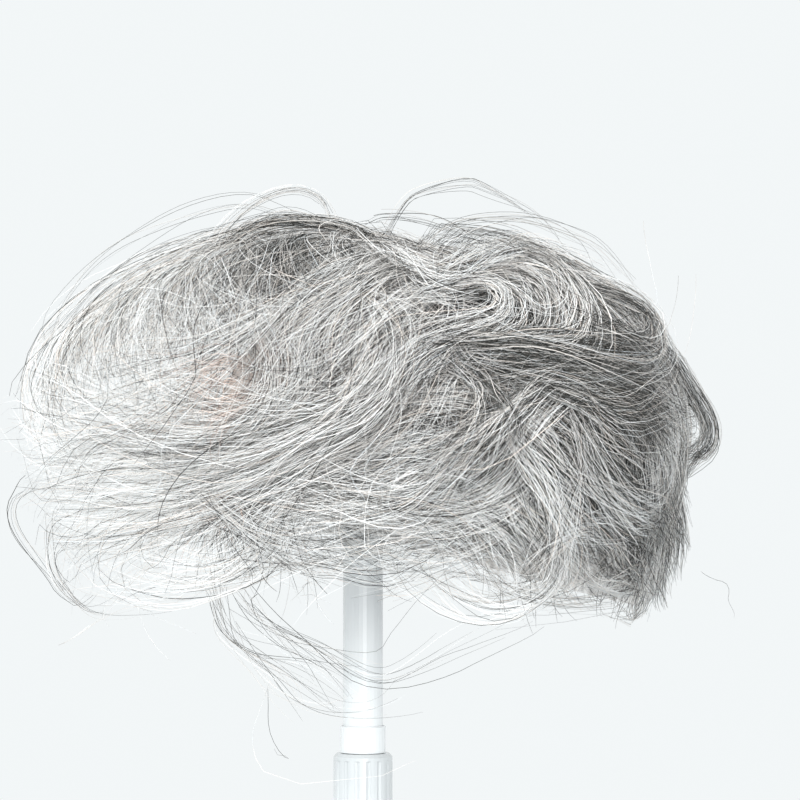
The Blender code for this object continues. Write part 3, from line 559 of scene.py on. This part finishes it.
def tube_map(lightness, points):
    """The faces' places on the map: t along it, and up it the strand's lightness plus a thin strip for each
    side."""
    u = np.broadcast_to(np.linspace(0, 1, points)[None, :, None], (len(lightness), points, SIDES))
    strips = MAP_STRIP * np.arange(SIDES) + np.zeros((1, points, 1))
    v = lightness[:, None, None] * (1 - 4 * MAP_STRIP) + strips
    low, high = np.stack([u, v], -1), np.stack([u, v + MAP_STRIP], -1)
    sides = np.stack([low[:, :-1], low[:, 1:], high[:, 1:], high[:, :-1]], 3).reshape(-1, 2)
    ends = np.stack([low[:, 0], low[:, -1, ::-1]])
    ends[:, :, 1, 0] = np.abs(ends[:, :, 1, 0] - MAP_STRIP)
    return sides, ends.reshape(-1, 2)


def mesh_object(name, corners, quads, triangles, uv):
    """A mesh from arrays: corners, four-sided faces, then three-sided ones, and one map place for each face
    corner."""
    mesh = bpy.data.meshes.new(name)
    mesh.vertices.add(len(corners))
    mesh.vertices.foreach_set("co", corners.astype(np.float32).ravel())
    loops = np.concatenate([quads.ravel(), triangles.ravel()])
    mesh.loops.add(len(loops))
    mesh.loops.foreach_set("vertex_index", loops.astype(np.int32))
    sizes = np.concatenate([np.full(len(quads), 4), np.full(len(triangles), 3)])
    mesh.polygons.add(len(sizes))
    mesh.polygons.foreach_set("loop_start", np.concatenate([[0], np.cumsum(sizes)[:-1]]).astype(np.int32))
    mesh.polygons.foreach_set("loop_total", sizes.astype(np.int32))
    mesh.polygons.foreach_set("use_smooth", np.ones(len(sizes), bool))
    mesh.update(calc_edges=True)
    layer = mesh.uv_layers.new(name=MAP_NAME)
    layer.uv.foreach_set("vector", uv.astype(np.float32).ravel())
    made = bpy.data.objects.new(name, mesh)
    bpy.context.scene.collection.objects.link(made)
    print(name, "has", int((sizes - 2).sum()), "triangles")
    return made


def strand_mesh(name, groups, diameter):
    """One mesh of many closed tubes, from groups of (paths, lightness)."""
    parts, first = [], 0
    for paths, lightness in groups:
        corners = tube_corners(paths, diameter)
        parts.append((corners, *tube_faces(first, *paths.shape[:2]), *tube_map(lightness, paths.shape[1])))
        first += len(corners)
    corners, sides, ends, side_map, end_map = (np.concatenate(part) for part in zip(*parts))
    return mesh_object(name, corners, sides, ends, np.concatenate([side_map, end_map]))


# %% [markdown]
# ## Strands between the locks
#
# Between the locks the hair takes its direction from what lies near. For each loose strand the directions of
# all the locks are averaged, the nearer the stronger, and the strand takes a step that way and then looks
# again, as a leaf drifts on a stream.

# %% The direction of the hair at any place
EVERY = 4


def pull(name):
    """How strongly a lock steers what lies near: the quiff and its curtain most, the hair over the forehead
    least."""
    return 4.0 if name.startswith(("quiff", "curtain")) else 0.4 if name.startswith("forehead") else 1.0


flow_paths = np.concatenate([free_paths, held_paths, far_paths, globe_paths])
flow_places = flow_paths[:, ::EVERY].reshape(-1, 3)
flow_ways = unit(np.gradient(flow_paths, axis=1))[:, ::EVERY].reshape(-1, 3)
flow_locks = (*free_locks, *held_locks, *held_locks, *GLOBE_LOCKS, *GLOBE_LOCKS)
flow_pull = np.repeat([pull(lock.name) for lock in flow_locks], PATH_POINTS // EVERY)


def flow(points, reach):
    """The averaged direction of the locks at each point, with weights of one over the squared distance,
    squared."""
    far = (points**2).sum(1)[:, None] + (flow_places**2).sum(1)[None] - 2 * points @ flow_places.T
    weight = flow_pull / (np.maximum(far, 0) + reach**2) ** 2
    return unit(weight @ flow_ways)


def grown(here, dome, reach, turn, stride, slowing, level):
    """One step along the flow, laid into the dome's surface and turned by the strand's own angle. A strand
    that falls slows down towards its hem, and each point goes back to the strand's own level of the dome. The
    slowing is the hem's height, how far above it that starts, and the least share of a step."""
    way, out = flow(here, reach), outward(here, dome)
    way = unit(way - (way * out).sum(1, keepdims=True) * out)
    go = way * np.cos(turn)[:, None] + np.cross(out, way) * np.sin(turn)[:, None]
    hem, above, least = slowing
    near_hem = np.where(go[:, 2] < 0, np.clip((here[:, 2] - hem) / above, least, 1), 1)
    here = here + go * (stride * near_hem)[:, None]
    return to_level(here, dome, level / np.maximum(level_of(here, dome), 0.2))


print("The flow is read from", len(flow_places), "places")

# %% Loose strands that drift along that direction


def ramp(values, start, end):
    """0 up to the start, 1 from the end on, and straight between. The end may be the lower one."""
    return np.clip((values - start) / (end - start), 0, 1)


def seeds(count, side):
    """Even places on the form's outside: any heading on that side, and any height, as on a ball."""
    heading = side * rng.uniform(0, np.pi, count)
    height = rng.uniform(-70, HAIR_FORM.rise - 1, count)
    ring = np.sqrt(1 - np.clip(height / HAIR_FORM.rise, 0, 1) ** 2)
    ring *= 1 - HAIR_FORM.lean * np.clip(-height / HAIR_FORM.skirt, 0, 1)
    x, y = HAIR_FORM.half_length * np.cos(heading), HAIR_FORM.half_width * np.sin(heading)
    return np.stack([HAIR_FORM.x + x * ring, y * ring, HAIR_FORM.z + height], 1)


def open_forehead(paths):
    """Leaves out every strand that would hang across the forehead, below the quiff and between the side
    locks."""
    x, y, z = np.moveaxis(paths, 2, 0)
    across = (x < -55) & (np.abs(y) < 74 + 0.28 * (x + 55)) & (z < 286)
    return paths[~across.any(1)]


def drifting_strands(count, side, points, step, low, high, unruly, thin_rear=False):
    """Strands that follow the flow from a seed, fewer at the front and the hem. Each has its own angle to the
    flow, wide for the unruly ones, a bend, a step, a hem, and a level of the form that rises by 2% to the
    tip."""
    here = seeds(count, side)
    kept = (1 - 0.86 * ramp(here[:, 0], -10, -140)) * (1 - 0.88 * ramp(here[:, 2], 275, 230))
    kept = kept * (1 - 0.6 * thin_rear * ramp(here[:, 0], 50, 110))
    here = here[rng.random(count) < kept]
    count = len(here)
    level = rng.uniform(low, high, count) * (1 - 0.04 * ramp(here[:, 0], 40, 120))
    hem = rng.normal(240, 13, count)
    angle = rng.normal(0, np.radians(20), count)
    angle = np.where(rng.random(count) < unruly, rng.normal(0, np.radians(55), count), angle)
    bend = rng.normal(0, np.radians(5), count)
    stride = step * rng.uniform(0.6, 1.3, count)
    path = [here]
    for k in range(points - 1):
        turn, lifted = angle + bend * (k - points / 2), level * (1 + 0.02 * k / points)
        path.append(grown(path[-1], HAIR_FORM, 9.0, turn, stride, (hem, 30, 0.12), lifted))
    return open_forehead(off_the_cap(dipped(np.stack(path, 1))))


def cap_strands(count, points, step):
    """Strands knotted into the base: seeds even over the dome, the flow in the dome's own surface, and a slow
    rise off it. Few start where the photograph's thin front lets the base show."""
    heading = rng.uniform(-np.pi, np.pi, count)
    height = np.arcsin(rng.uniform(0.0, 1.0, count))
    ring = np.cos(height)
    x = CAP_FORM.x + CAP_FORM.half_length * ring * np.cos(heading)
    z = CAP_FORM.z + CAP_FORM.rise * np.sin(height) - 22 * (rng.random(count) < 0.25)
    here = np.stack([x, CAP_FORM.half_width * ring * np.sin(heading), z], 1)
    thin = rng.random(count) < np.where((x < -50) & (z > 290) & (z < 330), 0.6, np.where(x < -10, 0.35, 0.0))
    here = here[~thin]
    angle, level = rng.normal(0, np.radians(22), len(here)), rng.uniform(1.03, 1.12, len(here))
    hem = rng.uniform(212, 266, len(here))
    path = [here]
    for k in range(points - 1):
        path.append(grown(path[-1], CAP_FORM, 20.0, angle, step, (hem, 25, 0.15), level + 0.012 * k))
    return open_forehead(np.stack(path, 1))


print("The ramp half way from 275 down to 230:", ramp(252.5, 275, 230))

# %% The lightness of strands between the locks
Patch = namedtuple("Patch", "x z length height strength")
# The pale patch at the temple, and a small one below it, in millimetres: there the flesh-toned base's colour
# is painted onto the hair as bounce light.
PALE_PATCHES = (Patch(-68, 304, 30, 17, 1.0), Patch(-62, 260, 16, 12, 0.7))


def local_light(points):
    """How light the hair is at a place: pale at the forehead and darker to the nape, part the hair's own grey
    and part painted light on the front; darker high up where the quiff starts; and lighter again low down in
    the middle and on top of the mound, as painted light where dense hair would shade itself."""
    x, z = points[:, 0], points[:, 2]
    root = ramp(z, 355, 390) * ramp(np.abs(x + 40), 50, 0)
    # Painted light: low in the middle and on top of the mound the hair is made lighter, where its dense
    # strands would shade it.
    under = ramp(z, 325, 275) * ramp(np.abs(x - 35), 112.5, 37.5)
    top = ramp(z, 335, 355) * ramp(np.abs(x - 35), 70, 20)
    return np.clip(0.92 - 1.20 * ramp(x, -150, 140) - 0.6 * root + 0.50 * under + 0.30 * top, 0.02, 0.98)


def warmed(paths, shade):
    """Three in four strands at the heart of a pale patch, and fewer away from it, take their grey from the
    warm band, which paints the base's warm light onto them."""
    x, _, z = paths[:, paths.shape[1] // 2].T
    far = [((x - patch.x) / patch.length) ** 2 + ((z - patch.z) / patch.height) ** 2 for patch in PALE_PATCHES]
    near = [patch.strength * np.exp(-away) for patch, away in zip(PALE_PATCHES, far)]
    warm = rng.random(len(shade)) < 0.75 * np.max(near, axis=0)
    return np.where(warm, WARM_FROM + WARM_HEIGHT * shade / GREYS, shade)


print("Lightness over the forehead and at the nape:", local_light(np.array([[-130.0, 0, 330], [130, 0, 260]])))

# %% [markdown]
# ## Making the pieces
#
# The near side is what a viewer sees first, so it gets most of the strands. A strand may not stand further
# out than the styled hair does, so the last step before a mesh is to hold each point inside a box.

# %% The near side's locks, in four pieces, and those that stand free
ROOM_LOW, ROOM_HIGH = np.array([-170.0, -128.0, 140.0]), np.array([170.0, 128.0, 416.0])
# Each piece's name, and the stretch of x that its strands' middles lie in.
NEAR_SHARES = (("front", -999, -42), ("middle", -42, 30), ("side", 30, 72), ("back", 72, 999))
hair_pieces = []


def add_hair(name, *groups, diameter=STRAND_DIAMETER):
    """One hair piece from groups of (paths, lightness), held inside the room that the solid leaves."""
    held = [(np.clip(paths, ROOM_LOW, ROOM_HIGH), light) for paths, light in groups]
    hair_pieces.append(strand_mesh(name, held, diameter))


near_points, near_light = lock_strands(held_paths, held_locks, points=12)
near_shade = strand_lightness(near_light)
near_middle = near_points[:, :, 0].mean(1)
for name, low, high in NEAR_SHARES:
    chosen = (near_middle >= low) & (near_middle < high)
    add_hair("hair_near_" + name, (near_points[chosen], near_shade[chosen]))
# Strands with nothing behind them look thicker than they are, so these are drawn finer, and with more points.
free_points, free_light = lock_strands(free_paths, free_locks, points=24)
add_hair("hair_wisps_and_arches", (free_points, strand_lightness(free_light)), diameter=0.85 * STRAND_DIAMETER)

# %% The far side, the crown, forehead and nape, and the strands between
far_points, far_light = lock_strands(far_paths, held_locks, points=11, density=0.40)
# Painted light: far-side strands towards the front are made lighter, where they are seen in shade through the
# thin front hair.
far_light = np.clip(far_light + 0.3 * ramp(far_points[:, 5, 0], 0, -90), 0, 1)
add_hair("hair_far_side", (far_points, strand_lightness(far_light)))
globe_points, globe_light = lock_strands(globe_paths, GLOBE_LOCKS * 2, points=11, thick=12, density=0.9)
add_hair("hair_crown_and_nape", (globe_points, strand_lightness(globe_light)))
knotted = cap_strands(2500, points=8, step=11.0)
# Painted shade: the strands knotted into the base lie deepest, so they are made a little darker.
knotted_shade = strand_lightness(local_light(knotted[:, 4]) - 0.15)
add_hair("hair_knotted_in_base", (knotted, warmed(knotted, knotted_shade)))
for name, side, count in (("hair_between_near", -1, 3000), ("hair_between_far", 1, 1800)):
    loose = drifting_strands(count, side, points=11, step=11.0, low=0.76, high=0.94, unruly=0.12)
    add_hair(name, (loose, warmed(loose, strand_lightness(local_light(loose[:, 5])))))

# %% Flyaway hairs: a few as the photograph shows them, and many over the whole outside
FLYAWAYS = read_locks("""
name out width strands light route
fly_crown 0.2 3 1 0.55 127,391 128,384 130,376 132,365 133,353 126,328
fly_rear_high 0.3 3 1 0.55 150,371 150,360 149,350 147,338 143,326 137,315
fly_rear_low 0.3 3 1 0.55 137,372 141,368 141,360 139,350 135,338 129,327
fly_nape 0.2 3 1 0.45 150,235 160,228 167,220 163,210
fly_front_low 0.3 4 1 0.8 -108,236 -102,220 -96,204 -90,189
fly_front_tip 0.3 3 1 0.8 -104,232 -111,223 -115,213 -113,204
fly_front_edge 0.3 4 2 0.8 -137,199 -126,206 -114,216 -104,229
fly_wisp_loop 0.3 5 2 0.55 -12,190 -17,176 -19,162 -14,150 -7,148 -5,158
""")
fly_paths = np.array([side_path(lock, -1) for lock in FLYAWAYS])
fly_points, fly_light = lock_strands(fly_paths, FLYAWAYS, points=13, thick=1.0)
outermost = partial(drifting_strands, points=12, step=9.5, low=0.97, high=1.03, unruly=0.5, thin_rear=True)
stray = np.concatenate([outermost(count, side) for side, count in ((-1, 1100), (1, 400))])
stray_shade = strand_lightness(0.32 + 0.55 * local_light(stray[:, 6]))
add_hair("hair_flyaways", (fly_points, strand_lightness(fly_light)), (stray, stray_shade))

# %% [markdown]
# ## The undercoat
#
# Real hair hides its base because there are tens of thousands of strands under the ones that are seen.
# Drawing them all would be too heavy. Thicker strands lie deep inside instead, behind the thin front and
# above the hem, coloured dark as painted shade, so a gap between the outer strands looks like deeper hair in
# shade.

# %% Thicker strands deep inside, darkened as painted shade
DEEP_DIAMETER = 0.5
inmost = partial(drifting_strands, 700, points=9, step=12.0, low=0.70, high=0.84, unruly=0.05)
deep = np.concatenate([inmost(side) for side in (-1, 1)])
deep = deep[(deep[:, :, 0].min(1) > -45) & (deep[:, :, 2].min(1) > 262)]
# Painted shade: the undercoat's greys run only from 0.02 to 0.28.
add_hair("hair_undercoat", (deep, rng.uniform(0.02, 0.28, len(deep))), diameter=DEEP_DIAMETER)
for piece in hair_pieces:
    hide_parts("hair")
    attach(piece, "root")
print("Hair pieces:", [piece.name for piece in hair_pieces])

# %% [markdown]
# ## Materials
#
# Colours are written as a painter would pick them, in sRGB hex, and one function turns them linear for the
# shader. Another adds a node with its settings and links, so each material below reads as a short recipe.

# %% Helpers for colours and nodes


def colour(code):
    """Linear red, green, blue and 1 from sRGB hex: under 0.04045 it is a twelfth, above it a power of 2.4."""
    parts = [int(code[i : i + 2], 16) / 255 for i in (1, 3, 5)]
    return tuple(c / 12.92 if c <= 0.04045 else ((c + 0.055) / 1.055) ** 2.4 for c in parts) + (1.0,)


def new_material(name):
    """An empty node material with its output node."""
    material = bpy.data.materials.new(name)
    material.use_nodes = True
    material.node_tree.nodes.clear()
    material.node_tree.nodes.new("ShaderNodeOutputMaterial").name = "output"
    return material


def add(material, kind, links=(), stops=(), **settings):
    """Adds a node. A setting named in_Socket sets that socket, others set the node itself. Each link is
    (node, its output, this node's input). Stops are the (place, hex) pairs of a colour ramp."""
    node = material.node_tree.nodes.new("ShaderNode" + kind)
    for key, value in settings.items():
        if key.startswith("in_"):
            socket = key[3:].replace("_", " ")
            node.inputs[int(socket) if socket.isdigit() else socket].default_value = value
        else:
            setattr(node, key, value)
    for source, output, target in links:
        material.node_tree.links.new(source.outputs[output], node.inputs[target])
    for k, (place, code) in enumerate(stops):
        mark = node.color_ramp.elements[k] if k < 2 else node.color_ramp.elements.new(place)
        mark.position, mark.color = place, colour(code)
    return node


def to_output(material, shader):
    """Joins the shader to the output."""
    material.node_tree.links.new(shader.outputs[0], material.node_tree.nodes["output"].inputs["Surface"])
    return material


print("The pale grey of white hair, linear:", [round(c, 3) for c in colour("#E8EAEC")[:3]])

# %% [markdown]
# Grey hair is a mix of white, grey and dark strands, and it shines a little. The colour ramp gives each
# strand its grey. Below, fine noise along the strands makes some warmer and some cooler, and roots are a
# little darker, which is what keeps a head of grey hair from looking like grey paint.

# %% Hair: each strand its own grey, from the map's height
# The last four marks are the warm band: the flesh-toned base's colour painted onto the hair as bounce light.
HAIR_GREYS = (
    (0.0, "#1E1E1C"), (0.14, "#32322F"), (0.30, "#686967"), (0.47, "#A0A1A0"), (0.64, "#CDCCCB"),
    (0.80, "#F1F0EF"), (0.865, "#F9F8F7"),
    (0.875, "#8E7C75"), (0.92, "#D6BFB4"), (0.96, "#F0DCD2"), (1.0, "#F7E9E2"),
)
hair_material = new_material("salt_and_pepper_hair_combed_loose")
hair_node = partial(add, hair_material)
where = hair_node("UVMap", uv_map=MAP_NAME)
parts = hair_node("SeparateXYZ", [(where, "UV", 0)])
own_grey = hair_node("ValToRGB", [(parts, "Y", 0)], HAIR_GREYS)
tint_space = hair_node("Mapping", [(where, "UV", "Vector")], in_Scale=(0.6, 420.0, 1.0))
tint = hair_node("TexNoise", [(tint_space, "Vector", "Vector")], in_Scale=1.0, in_Detail=1.0)
TINTS = ((0.34, "#FFF0E3"), (0.50, "#FFFEFB"), (0.66, "#EAF5FD"))
tint_colour = hair_node("ValToRGB", [(tint, "Fac", 0)], TINTS)
MULTIPLY = {"data_type": "RGBA", "blend_type": "MULTIPLY"}
tinted = hair_node("Mix", [(own_grey, "Color", 6), (tint_colour, "Color", 7)], in_0=1.0, **MULTIPLY)
stretched = hair_node("Mapping", [(where, "UV", "Vector")], in_Scale=(5.0, 160.0, 1.0))
mottle = hair_node("TexNoise", [(stretched, "Vector", "Vector")], in_Scale=1.0, in_Detail=2.0)
mottle_grey = hair_node("ValToRGB", [(mottle, "Fac", 0)], ((0.30, "#B9B9B9"), (0.60, "#FFFFFF")))
mottled = hair_node("Mix", [(tinted, 2, 6), (mottle_grey, "Color", 7)], in_0=0.3, **MULTIPLY)
root = hair_node("ValToRGB", [(parts, "X", 0)], ((0.0, "#9A9694"), (0.22, "#FFFFFF")))
rooted = hair_node("Mix", [(mottled, 2, 6), (root, "Color", 7)], in_0=0.7, **MULTIPLY)
hair_shader = hair_node("BsdfPrincipled", [(rooted, 2, "Base Color")], in_Roughness=0.42, in_IOR=1.5)
to_output(hair_material, hair_shader)
for piece in hair_pieces:
    piece.data.materials.append(hair_material)
print("Greys a strand can take:", len(HAIR_GREYS), "marks, the last four warmed by the base")

# %% [markdown]
# The base is a cast film the colour of skin. It gives the eye the soft peach patch behind the thin front
# hair. Away from there the roots stand so close that the film reads as grey stubble, and its hem is left
# pale, so the hair's lower edge looks soft and not cut.

# %% The base: a thin flesh-toned film, with roots drawn 1.5 mm apart and 8 mm long
base_material = new_material("flesh_poly_film_with_knotted_roots")
base_node = partial(add, base_material)
where = base_node("TexCoord")
blotch = base_node("TexNoise", [(where, "Object", "Vector")], in_Scale=38.0, in_Detail=3.0)
film = base_node("ValToRGB", [(blotch, "Fac", 0)], ((0.30, "#EFD3C3"), (0.70, "#F8E4D8")))
stubble_space = base_node("Mapping", [(where, "Object", "Vector")], in_Scale=(650.0, 650.0, 120.0))
stubble = base_node("TexNoise", [(stubble_space, "Vector", "Vector")], in_Scale=1.0, in_Detail=2.0)
roots = base_node("ValToRGB", [(stubble, "Fac", 0)], ((0.36, "#75716E"), (0.50, "#A8A5A3"), (0.66, "#D9D8D7")))
axes = base_node("SeparateXYZ", [(where, "Object", 0)])
haired = base_node("MapRange", [(axes, "X", "Value")], in_From_Min=-0.072, in_From_Max=-0.036)
skin = base_node("Mix", [(haired, "Result", 0), (film, "Color", 6), (roots, "Color", 7)], data_type="RGBA")
# The rim falls 27 mm over each 100 mm towards the nape, so the height above it is z plus 0.27 x, in metres.
slope = base_node("Math", [(axes, "X", 0), (axes, "Z", 2)], operation="MULTIPLY_ADD", in_1=0.27)
above = base_node("MapRange", [(slope, "Value", "Value")], in_From_Min=0.262, in_From_Max=0.300)
hem_pale = base_node("ValToRGB", [(stubble, "Fac", 0)], ((0.40, "#CFCDCB"), (0.60, "#F2F1F0")))
hemmed = base_node("Mix", [(above, "Result", 0), (hem_pale, "Color", 6), (skin, 2, 7)], data_type="RGBA")
# Real knots sit about 1 mm apart. Here they sit 2.5 mm apart, so that they still show.
knots = base_node("TexVoronoi", [(where, "Object", "Vector")], in_Scale=400.0)
lift = base_node("Bump", [(knots, "Distance", "Height")], in_Strength=0.25, in_Distance=0.0003)
base_looks = [(hemmed, 2, "Base Color"), (lift, "Normal", "Normal")]
to_output(base_material, base_node("BsdfPrincipled", base_looks, in_Roughness=0.5))
print("Base material made with", len(base_material.node_tree.nodes), "nodes")

# %% [markdown]
# The stand is moulded in white plastic. A clear coat gives the tube its one long soft highlight, and very
# faint flow marks keep the highlight from looking drawn with a ruler. The grip and the foot are the same white
# plastic made a little greyer, as painted shade against the bright light low on the stand, so the flutes still
# show.

# %% The stand: white moulded plastic


def white_plastic(name, hollows, swells):
    """Moulded plastic: two near whites in slow clouds, a faint bump all over and a thin clear coat."""
    material = new_material(name)
    where = add(material, "TexCoord")
    cloud = add(material, "TexNoise", [(where, "Object", "Vector")], in_Scale=30.0, in_Detail=2.0)
    milk = add(material, "ValToRGB", [(cloud, "Fac", 0)], ((0.30, hollows), (0.70, swells)))
    skin = add(material, "TexNoise", [(where, "Object", "Vector")], in_Scale=900.0, in_Detail=2.0)
    flow_marks = add(material, "Bump", [(skin, "Fac", "Height")], in_Strength=0.06, in_Distance=0.0002)
    looks = [(milk, "Color", "Base Color"), (flow_marks, "Normal", "Normal")]
    return to_output(material, add(material, "BsdfPrincipled", looks, in_Roughness=0.22, in_Coat_Weight=0.3))


tube_material = white_plastic("white_plastic_injection_moulded", "#D0D4D6", "#D8DBDC")
# Painted shade: the grip and foot get a greyer copy of the same plastic, so the bright light there does not
# wash out the flutes.
shaded_grip_material = white_plastic("white_plastic_moulded_with_flutes", "#B8BCBE", "#BFC3C4")
OTHER_MATERIALS = {"cap_base": base_material, "stand_grip": shaded_grip_material, "stand_foot": shaded_grip_material}
for name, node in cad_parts.items():
    if name != "hair":
        node.material_slots[0].material = OTHER_MATERIALS.get(name, tube_material)
print("Materials:", [m.name for m in (hair_material, base_material, tube_material, shaded_grip_material)])

# %% [markdown]
# ## The studio
#
# The photograph is high key: everything round the wig is nearly white. The world is that white, and it is
# also the main soft light. A broad key light comes from the upper front left, a weaker fill from the right,
# and a low one reaches under the hair. The floor is a round sheet of paper, small enough to lie below the
# camera's view.

# %% The floor
FLOOR_RADIUS, FLOOR_CORNERS = 1.2, 128


def add_floor():
    """One flat face with its corners even round a circle."""
    angle = np.linspace(0, 2 * np.pi, FLOOR_CORNERS, endpoint=False)
    corners = FLOOR_RADIUS * np.stack([np.cos(angle), np.sin(angle), np.zeros(FLOOR_CORNERS)], 1)
    mesh = bpy.data.meshes.new("studio_floor")
    mesh.from_pydata(corners.tolist(), [], [list(range(FLOOR_CORNERS))])
    made = bpy.data.objects.new("studio_floor", mesh)
    bpy.context.scene.collection.objects.link(made)
    return made


floor = add_floor()
paper = new_material("matte_studio_paper")
where = add(paper, "TexCoord")
fibre = add(paper, "TexNoise", [(where, "Object", "Vector")], in_Scale=6.0)
pulp = add(paper, "ValToRGB", [(fibre, "Fac", 0)], ((0.3, "#BEC0C1"), (0.7, "#C1C3C4")))
to_output(paper, add(paper, "BsdfPrincipled", [(pulp, "Color", "Base Color")], in_Roughness=0.9))
floor.data.materials.append(paper)
print("Floor radius in metres:", FLOOR_RADIUS)

# %% The lights and the world


def add_light(name, place, aim, size, power):
    """A square area light at a place, turned to face the aim."""
    data = bpy.data.lights.new(name, "AREA")
    data.size, data.energy = size, power
    lamp = bpy.data.objects.new(name, data)
    lamp.location = place
    way = np.subtract(aim, place)
    lamp.rotation_euler = (math.acos(-way[2] / np.linalg.norm(way)), 0.0, math.atan2(-way[0], way[1]))
    bpy.context.scene.collection.objects.link(lamp)


# A row a light: its name, its place and aim, its width in metres and its power in watts.
LIGHTS = (
    ("key_light", (-1.0, -1.5, 1.5), (0, 0, 0.3), 1.4, 66),
    ("fill_light", (1.5, -1.3, 0.8), (0, 0, 0.3), 1.2, 16),
    ("low_light", (0.2, -1.7, 0.12), (0, 0, 0.26), 1.0, 9),
)
for row in LIGHTS:
    add_light(*row)
world = bpy.data.worlds.new("studio_world")
world.use_nodes = True
world.node_tree.nodes["Background"].inputs["Color"].default_value = colour("#F7FBFC")
world.node_tree.nodes["Background"].inputs["Strength"].default_value = 0.96
bpy.context.scene.world = world
bpy.context.scene.view_settings.view_transform = "Standard"
print("Lights:", [item.name for item in bpy.data.lights])
